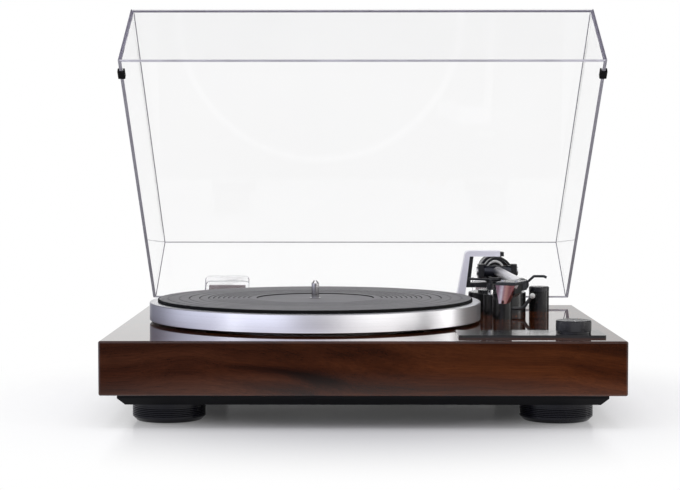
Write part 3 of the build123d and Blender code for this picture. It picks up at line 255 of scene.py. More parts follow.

# %% [markdown]
# ## Lacquered walnut
#
# The plinth is a wrapped walnut veneer under clear polished lacquer. Its figure runs along the
# front and the top, and along Y on the two ends, so the pattern's directions are swapped where a
# face looks along X. Three noises, all stretched along the grain, make it: broad wavy dark
# streaks that climb slowly to one side, fine fibres, and short dark pores. Painted light is laid
# over the wood. The right end is lighter and warmer and the left dimmer and lilac, as the lamps
# fall, and the foot of its upright faces is paler, as painted bounce light from the white table.
# The lacquer is the shader's coat, which gives the mirror-like deck without changing the wood.

# %% Walnut: the way its grain runs
walnut, tree, shader = new_material(
    "lacquered_walnut", Coat_IOR=1.5, Specular_IOR_Level=0.0, Coat_Weight=1.0, Coat_Roughness=0.035
)
end_facing, grain_slant, sway_width = 0.72, 0.085, 0.05
place = add(tree, "ShaderNodeTexCoord").outputs
axes = add(tree, "ShaderNodeSeparateXYZ", {0: place["Object"]}).outputs
facing = add(tree, "ShaderNodeSeparateXYZ", {0: place["Normal"]}).outputs[0]
on_end = maths(tree, "GREATER_THAN", maths(tree, "ABSOLUTE", facing), end_facing)
swapped = add(tree, "ShaderNodeCombineXYZ", {0: axes[1], 1: axes[0], 2: axes[2]}).outputs[0]
links = {0: on_end, 4: place["Object"], 5: swapped}
wood = add(tree, "ShaderNodeMix", links, data_type="VECTOR").outputs[1]
sway = noise(tree, stretched(tree, wood, (5.0, 9.0, 9.0)), 1.0, 2.0)
wave = maths(tree, "MULTIPLY", maths(tree, "SUBTRACT", sway, 0.5), sway_width)
along_grain = add(tree, "ShaderNodeSeparateXYZ", {0: wood}).outputs[0]
lean = maths(tree, "ADD", wave, maths(tree, "MULTIPLY", along_grain, grain_slant))
shift = add(tree, "ShaderNodeCombineXYZ", {1: lean, 2: lean}).outputs[0]
swayed = add(tree, "ShaderNodeVectorMath", {0: wood, 1: shift}, operation="ADD").outputs[0]
print("grain slant", grain_slant, "sway", sway_width)

# %% Walnut: streaks, fibres and pores
streaks = noise(tree, stretched(tree, swayed, (3.0, 66.0, 66.0)), 1.0, 2.0, 0.4, 0.1)
fibres = noise(tree, stretched(tree, swayed, (22.0, 900.0, 900.0)), 1.0, 4.0, 0.6)
pores = noise(tree, stretched(tree, swayed, (90.0, 2600.0, 2600.0)), 1.0, 2.0, 0.5)
figure = ramp(tree, streaks, [
    (0.26, (0.007, 0.0020, 0.0012)), (0.40, (0.022, 0.0060, 0.0025)),
    (0.54, (0.043, 0.0125, 0.0046)), (0.74, (0.066, 0.0210, 0.0080)),
])
fibre_tone = ramp(tree, fibres, [(0.3, (0.72, 0.7, 0.68)), (0.7, (1.18, 1.16, 1.12))])
pore_tone = ramp(tree, pores, [(0.3, (0.55, 0.5, 0.5)), (0.4, (1.0, 1.0, 1.0))])
print("walnut patterns", len(tree.nodes), "nodes")

# %% Walnut: colour, painted light and lacquer
left_x, right_x = -0.2, 0.22
bounce_full_z, bounce_gone_z = 26.0 * MM, 62.0 * MM
# Painted light: the right end lighter and warmer, the left dimmer and lilac.
side_light_share = remap(tree, axes[0], left_x, right_x, 0.0, 1.0)
painted_side_light = mix_colours(tree, side_light_share, (0.88, 0.86, 1.05, 1.0), (1.42, 1.22, 0.85, 1.0))
figure = mix_colours(tree, 1.0, figure, painted_side_light, "MULTIPLY")
# Painted bounce light: the lower part of the upright faces made paler.
painted_bounce = remap(tree, axes[2], bounce_full_z, bounce_gone_z, 1.0, 0.0)
figure = mix_colours(tree, painted_bounce, figure, (1.6, 1.6, 1.65, 1.0), "MULTIPLY")
figure = mix_colours(tree, 1.0, figure, fibre_tone, "MULTIPLY")
figure = mix_colours(tree, 0.8, figure, pore_tone, "MULTIPLY")
tree.links.new(figure, shader.inputs["Base Color"])
lacquer = use_group(tree, handling_group, {"Vector": wood, "Clean": 0.3, "Handled": 0.42})
tree.links.new(lacquer.outputs["Roughness"], shader.inputs["Roughness"])
bump(tree, shader, fibres, 0.06, 0.05)
print("walnut", len(tree.nodes), "nodes")

# %% [markdown]
# ## Metals
#
# The platter's rim is satin turned aluminium: almost white, with very fine lines round it, so it
# takes soft reflections of the room as upright bands. The tonearm's bridge and tube are anodised
# silver and a little lilac. Steel, brass and the plated pieces differ in colour and in how
# polished they are. One function makes them all, about an axis that each may set, and its share
# says how much of the shader is bare metal: a painted or brushed piece takes less.


# %% Metal materials
def metal(name, colour, low, high, centre=(0.0, 0.0, 0.0), tilt=(0.0, 0.0, 0.0), depth=0.05,
          lines=2500.0, share=1.0):
    """Turned or drawn metal whose lines run round the Z axis through a centre, once tilted."""
    material, tree, shader = new_material(name, Metallic=share)
    links = {"Vector": object_coordinates(tree), "Location": centre, "Rotation": tilt}
    placed = add(tree, "ShaderNodeMapping", links, vector_type="TEXTURE").outputs[0]
    links = {"Vector": placed, "Low gloss": low, "High gloss": high, "Lines per metre": lines}
    made = use_group(tree, turned_group, links).outputs
    tree.links.new(scale_colour(tree, colour, made["Tone"]), shader.inputs["Base Color"])
    tree.links.new(made["Roughness"], shader.inputs["Roughness"])
    bump(tree, shader, made["Height"], 0.25, depth)
    return material


spindle_centre = Vector((-43.0, 9.5, 0.0)) * MM
pivot_centre = Vector((133.7, 106.5, 112.3)) * MM
tube_turn = math.radians(2.029)
along_tube = (math.radians(90.0), 0.0, tube_turn)
satin_aluminium = metal(
    "satin_aluminium", (0.90, 0.90, 0.93), 0.36, 0.30, spindle_centre, depth=0.001, lines=9000.0
)
spindle_chrome = metal("spindle_chrome", (0.46, 0.45, 0.46), 0.12, 0.06, spindle_centre)
bridge_silver = metal(
    "bridge_silver", (0.80, 0.79, 0.87), 0.42, 0.34, pivot_centre, depth=0.003, lines=1800.0, share=0.35
)
weight_metal = metal("weight_metal", (0.05, 0.05, 0.055), 0.3, 0.2, pivot_centre, along_tube)
tongue_steel = metal("tongue_steel", (0.17, 0.14, 0.145), 0.5, 0.4, share=0.7)
bright_steel = metal("bright_steel", (0.56, 0.56, 0.57), 0.34, 0.2)
zinc_steel = metal("zinc_steel", (0.50, 0.50, 0.51), 0.4, 0.26)
turned_brass = metal("turned_brass", (0.66, 0.46, 0.20), 0.3, 0.2)
gold_plate = metal("gold_plate", (0.85, 0.62, 0.26), 0.25, 0.14)
chrome_plate = metal("chrome_plate", (0.7, 0.7, 0.7), 0.14, 0.06)
print("metals made, materials so far", len(bpy.data.materials))

# %% [markdown]
# ## The arm's tube and its hub
#
# The tube is drawn and anodised silver. Where it crosses the pivots it is clamped in a satin
# blue-black hub, and the stub that carries the counterweight is black too. All of it is one solid
# in the CAD, so the colour changes with the distance along the tube, over half a millimetre.

# %% Arm tube material
arm_silver, tree, shader = new_material("arm_silver")
links = {"Vector": object_coordinates(tree), "Location": pivot_centre, "Rotation": (0.0, 0.0, tube_turn)}
placed = add(tree, "ShaderNodeMapping", links, vector_type="TEXTURE").outputs[0]
hub_starts, hub_whole = -6.0 * MM, -5.4 * MM
along = add(tree, "ShaderNodeSeparateXYZ", {0: placed}).outputs[1]
dark = remap(tree, along, hub_starts, hub_whole, 0.0, 1.0)
drawn = noise(tree, stretched(tree, placed, (1400.0, 30.0, 1400.0)), 1.0, 3.0)
silver = ramp(tree, drawn, [(0.3, (0.80, 0.79, 0.82)), (0.7, (0.84, 0.83, 0.86))])
hub = ramp(tree, drawn, [(0.3, (0.020, 0.022, 0.032)), (0.7, (0.030, 0.032, 0.044))])
tree.links.new(mix_colours(tree, dark, silver, hub), shader.inputs["Base Color"])
tree.links.new(remap(tree, dark, 0.0, 1.0, 1.0, 0.25), shader.inputs["Metallic"])
tree.links.new(spread(tree, drawn, 0.27, 0.31), shader.inputs["Roughness"])
bump(tree, shader, drawn, 0.03, 0.001)
print("arm tube", len(tree.nodes), "nodes")

# %% [markdown]
# ## Moulded and painted blacks
#
# Black is where a render most easily goes flat. The tray is matt grained plastic, the feet and
# the tonearm's turret and posts are smoother and pick up tall soft highlights, the rubber parts
# are dull, and the bracket and headshell are painted metal with a bluish grey sheen. The same
# group makes them all, with other grains and glosses. The shine is how much of the light a
# surface mirrors when it is seen straight on.


# %% Black materials
def moulded(name, colour, low, high, scale=2200.0, depth=0.03, strength=0.35, shine=0.3, **values):
    """Moulded plastic, rubber or paint with a roughness between low and high."""
    material, tree, shader = new_material(name, Specular_IOR_Level=shine, **values)
    links = {"Vector": object_coordinates(tree), "Colour": (*colour, 1.0), "Grain scale": scale}
    links.update({"Low gloss": low, "High gloss": high})
    made = use_group(tree, grain_group, links).outputs
    tree.links.new(made["Colour"], shader.inputs["Base Color"])
    tree.links.new(made["Roughness"], shader.inputs["Roughness"])
    bump(tree, shader, made["Height"], strength, depth)
    return material


tray_black = moulded("tray_black", (0.004, 0.004, 0.005), 0.5, 0.4, shine=0.12)
foot_black = moulded("foot_black", (0.003, 0.003, 0.007), 0.3, 0.2, depth=0.003, shine=0.22)
turret_black = moulded("turret_black", (0.008, 0.008, 0.0085), 0.26, 0.18, 3200.0, 0.003)
knob_black = moulded("knob_black", (0.006, 0.006, 0.009), 0.3, 0.2, 3200.0, 0.003, shine=0.45)
bracket_black = moulded("bracket_black", (0.014, 0.014, 0.016), 0.36, 0.26, 3600.0, 0.012)
shell_black = moulded("shell_black", (0.026, 0.029, 0.033), 0.3, 0.2, 3600.0, 0.01)
body_black = moulded("cartridge_black", (0.014, 0.015, 0.015), 0.4, 0.28, 3000.0, 0.015)
rubber_and_groove_shade = moulded("rubber_and_groove_shade", (0.003, 0.003, 0.0033), 0.85, 0.7, 1500.0, 0.05, shine=0.15)
mat_rubber = moulded(
    "mat_rubber", (0.045, 0.042, 0.051), 0.62, 0.5, 1300.0, 0.02, shine=0.32, Sheen_Weight=0.22,
    Sheen_Roughness=0.4
)
belt_rubber = moulded("belt_rubber", (0.02, 0.019, 0.018), 0.7, 0.55, 1200.0, 0.03)
plate_grey = moulded(
    "plate_grey", (0.016, 0.016, 0.017), 0.16, 0.1, 3800.0, 0.001, strength=0.1, shine=0.4
)
panel_black = moulded("panel_black", (0.022, 0.022, 0.023), 0.5, 0.4, 1600.0, 0.03)
dial_white = moulded("dial_white", (0.78, 0.78, 0.78), 0.42, 0.3, 3000.0, 0.008)
board_green = moulded("board_green", (0.01, 0.07, 0.03), 0.4, 0.3, 900.0, 0.02)
lead_grey = moulded("lead_grey", (0.06, 0.06, 0.065), 0.55, 0.45, 1800.0, 0.02)
print("blacks made, materials so far", len(bpy.data.materials))

# %% [markdown]
# ## The cue lever
#
# The lever is a thin black rod with a ball at its end, and both are one node. The ball's pale
# colour is a painted highlight for its glint, so the colour changes with the distance from the
# ball's centre.

# %% Cue lever material
lever_black, tree, shader = new_material("lever_black")
place = object_coordinates(tree)
ball_centre = Vector((164.6, 69.6, 90.6)) * MM
ball_whole, ball_ends = 2.85 * MM, 2.95 * MM
links = {0: place, 1: ball_centre}
gap = add(tree, "ShaderNodeVectorMath", links, operation="DISTANCE").outputs["Value"]
on_ball = remap(tree, gap, ball_whole, ball_ends, 1.0, 0.0)
grain = noise(tree, place, 2600.0, 3.0)
black = ramp(tree, grain, [(0.3, (0.012, 0.012, 0.013)), (0.7, (0.017, 0.017, 0.018))])
# Painted highlight: the ball's pale colour stands in for its glint.
painted_glint = ramp(tree, grain, [(0.3, (0.62, 0.62, 0.62)), (0.7, (0.72, 0.72, 0.72))])
tree.links.new(mix_colours(tree, on_ball, black, painted_glint), shader.inputs["Base Color"])
tree.links.new(spread(tree, grain, 0.22, 0.34), shader.inputs["Roughness"])
bump(tree, shader, grain, 0.15, 0.01)
print("cue lever", len(tree.nodes), "nodes")

# %% [markdown]
# ## The clear parts
#
# The lid is 3 mm acrylic. With acrylic's own refractive index of 1.49 its panels would mirror the
# platter and the deck more than they do in soft studio light, so here it bends light less. The
# lines that draw its outline are then made on purpose: a pale finish for the cut rim in front as
# painted light, a darker one for the rims at the sides as painted shade, and a dark one for the
# glued corners. Its shadow has to stay light, so rays that go to the lamps pass through a
# Transparent shader.


# %% Clear materials
def clear(name, colour, gloss, **values):
    """Clear plastic with a faint haze, whose shadow keeps the lamps' light."""
    material, tree, shader = new_material(name, Roughness=gloss, Transmission_Weight=1.0, **values)
    place = object_coordinates(tree)
    haze = noise(tree, place, 9.0, 4.0, 0.6)
    tint = ramp(tree, haze, [(0.3, colour), (0.75, tuple(0.985 * c for c in colour))])
    tree.links.new(tint, shader.inputs["Base Color"])
    links = {"Vector": place, "Clean": gloss, "Handled": gloss + 0.02}
    handled = use_group(tree, handling_group, links)
    tree.links.new(handled.outputs["Roughness"], shader.inputs["Roughness"])
    through = add(tree, "ShaderNodeBsdfTransparent", {"Color": (*colour, 1.0)})
    to_lamp = add(tree, "ShaderNodeLightPath").outputs["Is Shadow Ray"]
    links = {0: to_lamp, 1: shader.outputs[0], 2: through.outputs[0]}
    both = add(tree, "ShaderNodeMixShader", links)
    tree.links.new(both.outputs[0], tree.nodes["Material Output"].inputs["Surface"])
    return material


clear_acrylic = clear("clear_acrylic", (0.957, 0.957, 0.959), 0.0, IOR=1.18)
clear_block = clear("clear_block", (0.97, 0.968, 0.978), 0.0, IOR=1.08)
# Painted shade and painted light for the rims: darker at the sides and the sockets' outlines, pale in front.
painted_shade_edge = moulded("painted_shade_edge", (0.34, 0.33, 0.37), 0.4, 0.3, 900.0, 0.01)
painted_light_edge = moulded("painted_light_edge", (0.72, 0.71, 0.77), 0.4, 0.3, 900.0, 0.01)
glued_edge = moulded("glued_edge", (0.17, 0.16, 0.205), 0.4, 0.3, 900.0, 0.01)
print("clear parts made, materials so far", len(bpy.data.materials))

# %% [markdown]
# ## The stylus holder
#
# The stylus clips on under the headshell in a holder of tinted plastic, red and half clear. Its
# colour carries painted light. From the front it shows a pale core between a lilac left edge and
# a deep red right one, as painted highlight and reflection, and its flanks and its rear are darker
# red as painted shade. The bands follow the holder's own width, so the pattern is turned with the
# headshell.

# %% Stylus red
stylus_red, tree, shader = new_material(
    "stylus_red", Transmission_Weight=0.35, IOR=1.5, Coat_Weight=1.0, Coat_Roughness=0.05
)
shell_centre = Vector((119.22, -129.56, 72.6)) * MM
shell_turn = math.radians(-24.01)
links = {"Vector": object_coordinates(tree), "Location": shell_centre, "Rotation": (0.0, 0.0, shell_turn)}
placed = add(tree, "ShaderNodeMapping", links, vector_type="TEXTURE").outputs[0]
half_width, rear_starts, rear_whole = 7.0 * MM, 6.0 * MM, 8.0 * MM
axes = add(tree, "ShaderNodeSeparateXYZ", {0: placed}).outputs
side = remap(tree, axes[0], -half_width, half_width, 0.0, 1.0)
# Painted highlight and reflection across the front: pale core, lilac left edge, deep red right.
front = ramp(tree, side, [
    (0.10, (0.20, 0.10, 0.16)), (0.24, (0.62, 0.52, 0.66)), (0.34, (0.80, 0.76, 0.88)),
    (0.46, (0.40, 0.20, 0.24)), (0.60, (0.60, 0.28, 0.24)), (0.80, (0.22, 0.03, 0.025)),
])
looking = add(tree, "ShaderNodeTexCoord").outputs["Normal"]
right = Matrix.Rotation(shell_turn, 3, "Z") @ Vector((1.0, 0.0, 0.0))
links = {0: looking, 1: right}
sideways = add(tree, "ShaderNodeVectorMath", links, operation="DOT_PRODUCT").outputs["Value"]
# Painted shade: the flanks by their facing and the rear by its place turn dark red.
flank_shade = remap(tree, maths(tree, "ABSOLUTE", sideways), 0.55, 0.7, 0.0, 1.0)
rear_shade = remap(tree, axes[1], rear_starts, rear_whole, 0.0, 1.0)
tint = mix_colours(tree, maths(tree, "MAXIMUM", flank_shade, rear_shade), front, (0.10, 0.005, 0.006, 1.0))
haze = noise(tree, placed, 500.0, 3.0)
tint = mix_colours(tree, spread(tree, haze, 0.0, 0.3), tint, (0.30, 0.05, 0.06, 1.0))
tree.links.new(tint, shader.inputs["Base Color"])
tree.links.new(spread(tree, haze, 0.12, 0.24), shader.inputs["Roughness"])
print("stylus holder", len(tree.nodes), "nodes")

# %% [markdown]
# ## Dressing the CAD nodes
#
# Every node keeps its CAD shape unless a later cell replaces it. Here each one gets its finish,
# in groups, by naming the nodes that share it.

# %% Finishes of the nodes
finishes = {
    walnut: "plinth",
    tray_black: "base_cover power_inlet speed_switch",
    foot_black: "foot_front_left foot_front_right foot_rear_left foot_rear_right",
    belt_rubber: "drive_belt",
    plate_grey: "control_plate",
    knob_black: "speed_knob antiskate_dial",
    turret_black: "arm_base arm_collar lift_housing antiskate_post arm_rest",
    bracket_black: "pivot_frame arm_yoke lift_rail",
    lever_black: "cue_lever",
    bridge_silver: "pivot_bridge",
    arm_silver: "arm_tube",
    weight_metal: "counterweight",
    dial_white: "force_dial",
    shell_black: "headshell",
    body_black: "cartridge",
    stylus_red: "stylus_unit",
    satin_aluminium: "platter",
    spindle_chrome: "spindle",
    chrome_plate: "lift_piston thrust_ball",
    bright_steel: "arm_axle motor motor_plate motor_shaft side_pivots",
    tongue_steel: "hinge_arms hinge_brackets",
    zinc_steel: (
        "machine_screws cover_screws foot_screws hinge_screws headshell_screws pivot_screw hinge_pins"
    ),
    turned_brass: "motor_pulley bearing_housing",
    gold_plate: "phono_jacks ground_post",
    panel_black: "jack_panel",
    board_green: "main_board",
    lead_grey: "wiring",
    clear_acrylic: "lid hinge_sockets",
    rubber_and_groove_shade: "foot_pads motor_grommets lid_bumpers",
    mat_rubber: "platter_mat",
}
for material, names in finishes.items():
    for name in names.split():
        nodes[name].data.materials.clear()
        nodes[name].data.materials.append(material)
left_out = sorted(set(nodes) - set(" ".join(finishes.values()).split()))
print("nodes without a finish", left_out)


# %% [markdown]
# ## Making new pieces
#
# Some shapes are worth remaking here, because their small details are what the eye looks for.
# Each is a bmesh that starts from an operator's shape and is finished by others. `turned` spins
# an outline of radius and height, as a lathe would; `finish` turns a bmesh into an object whose
# edges are sharp only where two faces meet at a real corner, and hands it to its moving body.


# %% Helpers for new pieces
def finish(name, builder, materials, body, replaced, smooth_deg):
    """Closes a bmesh into an object that rides on a body and stands for its CAD nodes."""
    mesh = bpy.data.meshes.new(name)
    builder.to_mesh(mesh)
    builder.free()
    for material in materials:
        mesh.materials.append(material)
    mesh.shade_smooth()
    mesh.set_sharp_from_angle(angle=math.radians(smooth_deg))
    piece = bpy.data.objects.new(name, mesh)
    bpy.context.scene.collection.objects.link(piece)
    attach(piece, body)
    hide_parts(*replaced)
    print(name, "faces", len(mesh.polygons), "on", body)


def turned(outline, steps, place=Matrix(), closed=True):
    """A lathe shape: an outline of (radius, height) in mm, spun round Z and then put in place."""
    builder = bmesh.new()
    points = [builder.verts.new((radius * MM, 0.0, height * MM)) for radius, height in outline]
    pairs = list(zip(points, points[1:]))
    if closed:
        pairs.append((points[-1], points[0]))
    edges = [builder.edges.new(pair) for pair in pairs]
    bmesh.ops.spin(
        builder, geom=points + edges, axis=(0.0, 0.0, 1.0), cent=(0.0, 0.0, 0.0), steps=steps,
        angle=2.0 * math.pi, use_merge=True,
    )
    bmesh.ops.remove_doubles(builder, verts=builder.verts, dist=0.001 * MM)
    bmesh.ops.recalc_face_normals(builder, faces=builder.faces)
    bmesh.ops.transform(builder, matrix=place, verts=builder.verts)
    return builder


def soften(builder, edges, offset_mm, segments, material=-1):
    """Rounds chosen edges. The new strips take their neighbours' material unless one is given."""
    bmesh.ops.bevel(
        builder, geom=edges, offset=offset_mm * MM, segments=segments, profile=0.5,
        affect="EDGES", material=material, clamp_overlap=True,
    )


def corners(builder, least_deg):
    """The edges where two faces meet at more than an angle."""
    least = math.radians(least_deg)
    return [e for e in builder.edges if len(e.link_faces) == 2 and e.calc_face_angle(0.0) > least]


def block(builder, low, high):
    """A box between two corners in mm: its vertices."""
    low, high = Vector(low) * MM, Vector(high) * MM
    made = bmesh.ops.create_cube(builder, size=1.0)["verts"]
    bmesh.ops.scale(builder, vec=high - low, verts=made)
    bmesh.ops.translate(builder, vec=(low + high) / 2.0, verts=made)
    return made


deck = 72.6
print("helpers for new pieces, deck at", deck, "mm")

# %% [markdown]
# ## The rubber mat
#
# The mat is a moulded rubber disc with a shallow recess for a record's label and fine ribs round
# it that hold the record. A real mould is cut on a lathe, so the mat is one spun outline with a V
# at every groove. Seen almost level, the wall of a groove that faces the viewer is a thin dark
# arc. That dark is painted shade: the black rubber finish on those walls, on the step of the
# recess and on the rounded edge keeps the arcs dark, and the two outermost grooves are left pale.

# %% Mat
mat_low, mat_top, mat_radius, mat_hole = 18.4, 21.2, 145.5, 3.9
label_radius, label_floor, step_out, step_in = 54.0, 20.4, 0.5, 0.2
groove_half, groove_depth, groove_pitch, edge_width = 0.65, 0.55, 4.6, 1.2
unshaded_grooves = [136.0, 126.0]
shaded_grooves = [116.5, 107.0] + [98.6 - groove_pitch * i for i in range(9)]
outline = [(mat_hole, mat_low), (mat_radius, mat_low), (mat_radius, mat_top - 0.6),
           (mat_radius - 0.3, mat_top - 0.2), (mat_radius - edge_width, mat_top)]
for radius in unshaded_grooves + shaded_grooves:
    outline += [(radius + groove_half, mat_top), (radius, mat_top - groove_depth),
                (radius - groove_half, mat_top)]
outline += [(label_radius + step_out, mat_top), (label_radius, mat_top - 0.3),
            (label_radius - step_in, label_floor), (mat_hole + 0.3, label_floor),
            (mat_hole, label_floor - 0.3)]
spindle_place = Matrix.Translation(spindle_centre + Vector((0.0, 0.0, deck * MM)))
mat = turned(outline, 192, spindle_place)
# Painted shade: the inner grooves' viewer-facing walls, the recess step and the rounded edge take the black
# rubber finish.
for face in mat.faces:
    across = (face.calc_center_median() - spindle_centre).xy.length / MM
    step_shade = label_radius - step_in < across < label_radius + step_out
    groove_shade = any(radius < across < radius + groove_half for radius in shaded_grooves)
    face.material_index = int(step_shade or groove_shade or across > mat_radius - edge_width)
finish("ribbed_mat", mat, [mat_rubber, rubber_and_groove_shade], "platter", ["platter_mat"], 20.0)

# %% [markdown]
# ## The lid
#
# The lid is a shallow tapered tray of 3 mm acrylic, made from sheets that are glued at the
# corners. Two things draw it on a white background: the cut rim, painted pale lilac grey in front
# as painted light and darker along the sides as painted shade, and the glued corners, which show
# as thin grey lines. So it is made closed, from an outer and an inner tapered block joined at the
# rim, with a narrow strip along each outer corner and along the inner corners away from the front.
# At the front sheet the glue is a thin film inside each joint, because that is where the line is
# seen. The finished lid is turned open about the hinge by the angle of the photograph.

# %% Lid's sizes
lid_half_width, lid_front, lid_rear, rim_z = 215.5, -173.5, 180.5, 75.1
lid_height, lid_wall, lid_inset = 69.5, 3.0, 5.7
outer_strip, inner_strip, front_reach, side_reach = 0.8, 0.5, 12.0, 10.0
hinge_y, hinge_z, open_deg = 196.2, 47.2, 40.7
hinge_line = Vector((0.0, hinge_y, hinge_z)) * MM
opened = (Matrix.Translation(hinge_line) @ Matrix.Rotation(math.radians(-open_deg), 4, "X")
          @ Matrix.Translation(-hinge_line))
lid_looks = [clear_acrylic, glued_edge, painted_light_edge, painted_shade_edge]
acrylic_index, glue_index, light_edge_index, shade_edge_index = range(len(lid_looks))
print("lid", 2.0 * lid_half_width, "x", lid_rear - lid_front, "x", lid_height, "mm")


# %% Lid's sheets
def tapered_shell(shrink, height, strip):
    """Open-bottomed tapered block with narrow strips along its corners."""
    shell = bmesh.new()
    half = lid_half_width - shrink
    made = block(shell, (-half, lid_front + shrink, rim_z), (half, lid_rear - shrink, rim_z + height))
    top = [v for v in made if v.co.z > (rim_z + height / 2.0) * MM]
    inset = lid_inset * height / lid_height
    depth = lid_rear - lid_front - 2.0 * shrink
    centre = Vector((0.0, (lid_front + lid_rear) / 2.0, 0.0)) * MM
    narrower = (1.0 - inset / half, 1.0 - 2.0 * inset / depth, 1.0)
    bmesh.ops.scale(shell, vec=narrower, verts=top, space=Matrix.Translation(-centre))
    under = [f for f in shell.faces if f.normal.z < -0.9]
    bmesh.ops.delete(shell, geom=under, context="FACES_ONLY")
    soften(shell, [e for e in shell.edges if len(e.link_faces) == 2], strip, 1, glue_index)
    return shell


lid = tapered_shell(0.0, lid_height, outer_strip)
inner = tapered_shell(lid_wall, lid_height - lid_wall, inner_strip)
for face in inner.faces:
    if face.calc_center_median().y < (lid_front + front_reach) * MM:
        face.material_index = acrylic_index
inner_mesh = bpy.data.meshes.new("lid_inner")
bmesh.ops.reverse_faces(inner, faces=inner.faces)
inner.to_mesh(inner_mesh)
inner.free()
lid.from_mesh(inner_mesh)
bpy.data.meshes.remove(inner_mesh)
rim = bmesh.ops.bridge_loops(lid, edges=[e for e in lid.edges if e.is_boundary])["faces"]
# Painted light on the front rim, painted shade on the side rims.
for face in rim:
    at_side = abs(face.calc_center_median().x) > (lid_half_width - side_reach) * MM
    face.material_index = shade_edge_index if at_side else light_edge_index
bmesh.ops.recalc_face_normals(lid, faces=lid.faces)
print("lid faces", len(lid.faces), "of them on the rim", len(rim))

# %% Glue in the front joints
glue_y, glue_thick, glue_skin = lid_front + lid_wall, 0.15, 0.12
top_z = rim_z + lid_height
glue_half, glue_top_y = lid_half_width - lid_inset - glue_skin, glue_y + lid_inset
films = block(lid, (-glue_half, glue_top_y, top_z - lid_wall + glue_skin),
              (glue_half, glue_top_y + glue_thick, top_z - glue_skin))
lean = lid_inset * (lid_height - lid_wall) / lid_height
for side in (-1.0, 1.0):
    near, far = sorted((side * (lid_half_width - lid_wall + glue_skin), side * (lid_half_width - glue_skin)))
    made = block(lid, (near, glue_y, rim_z + glue_skin), (far, glue_y + glue_thick, top_z - lid_wall))
    upper = [v for v in made if v.co.z > (rim_z + lid_height / 2.0) * MM]
    bmesh.ops.translate(lid, vec=Vector((-side * lean, lean, 0.0)) * MM, verts=upper)
    films += made
for face in {f for v in films for f in v.link_faces}:
    face.material_index = glue_index
print("glue films", len(films) // 8)

# %% Lid turned open
bmesh.ops.transform(lid, matrix=opened, verts=lid.verts)
finish("clear_lid", lid, lid_looks, "lid", ["lid"], 20.0)

# %% [markdown]
# ## The hinge sockets
#
# Each hinge arm pushes up into a clear block on the lid's rear wall. The block's edges bend the
# light away, so its outline reads as a grey line and clearer than its faces. That grey line is
# painted shade: a strip of the darker rim finish along the outside edges. Each is a box that
# leans with the wall, rounded at its top, with the slot for the arm pushed into its underside.

# %% Hinge sockets
hinge_x, socket_half, socket_height, socket_rear = 139.3, 23.0, 27.0, 189.7
slot_half, slot_front, slot_rear, slot_height = 19.1, 183.9, 187.7, 18.2
rim_margin = 1.0
wall_lean = lid_inset * socket_height / lid_height
sockets = bmesh.new()
for side in (-1.0, 1.0):
    x = side * hinge_x
    made = block(
        sockets, (x - socket_half, lid_rear, rim_z), (x + socket_half, socket_rear, rim_z + socket_height)
    )
    against_wall = [v for v in made if v.co.z > (rim_z + rim_margin) * MM
                    and v.co.y < (lid_rear + rim_margin) * MM]
    bmesh.ops.translate(sockets, vec=(0.0, -wall_lean * MM, 0.0), verts=against_wall)
    faces = {f for v in made for f in v.link_faces}
    under = min(faces, key=lambda f: f.calc_center_median().z)
    bmesh.ops.inset_region(sockets, faces=[under], thickness=rim_margin * MM)
    for v in under.verts:
        v.co.x = (x + math.copysign(slot_half, v.co.x - x * MM)) * MM
        v.co.y = (slot_front if v.co.y < (slot_front + rim_margin) * MM else slot_rear) * MM
    pushed = bmesh.ops.extrude_face_region(sockets, geom=[under])["geom"]
    moved = [g for g in pushed if isinstance(g, bmesh.types.BMVert)]
    bmesh.ops.translate(sockets, vec=(0.0, 0.0, slot_height * MM), verts=moved)
    bmesh.ops.delete(sockets, geom=[under], context="FACES_ONLY")
print("sockets", len(sockets.faces), "faces")


# %% Rounded tops and grey outlines of the sockets
top_radius, outline_width, slot_reach, slot_end = 5.0, 0.5, 19.5, 20.0
shade_outline_index = 1


def at_top_side(edge):
    """True for a top edge of a socket that runs from front to rear at its left or right."""
    a, b = edge.verts[0].co, edge.verts[1].co
    return min(a.z, b.z) > (rim_z + socket_height - 0.1) * MM and abs(a.x - b.x) < 0.01 * MM


def is_outline(edge):
    """True for an edge of a socket's outside: past the slot's sides or above its inner end."""
    across = max(abs(abs(v.co.x) - hinge_x * MM) for v in edge.verts)
    lowest = min(v.co.z for v in edge.verts)
    return across > slot_reach * MM or lowest > (rim_z + slot_end) * MM


soften(sockets, [e for e in sockets.edges if at_top_side(e)], top_radius, 5)
# Painted shade: the outside edges get a strip of the darker rim finish.
soften(sockets, [e for e in corners(sockets, 60.0) if is_outline(e)], outline_width, 1, shade_outline_index)
bmesh.ops.recalc_face_normals(sockets, faces=sockets.faces)
bmesh.ops.transform(sockets, matrix=opened, verts=sockets.verts)
finish("socket_blocks", sockets, [clear_block, painted_shade_edge], "lid", ["hinge_sockets"], 30.0)

# %% [markdown]
# ## The counterweight and the force dial
#
# The counterweight is turned from steel bar, blacked, with a knurled grip round its rear half and
# a stepped front face. In front of it a light plastic dial with fine marks shows the tracking
# force. Both are lathe shapes on the tube's own axis. The knurl is every second column of points
# pressed in a little.

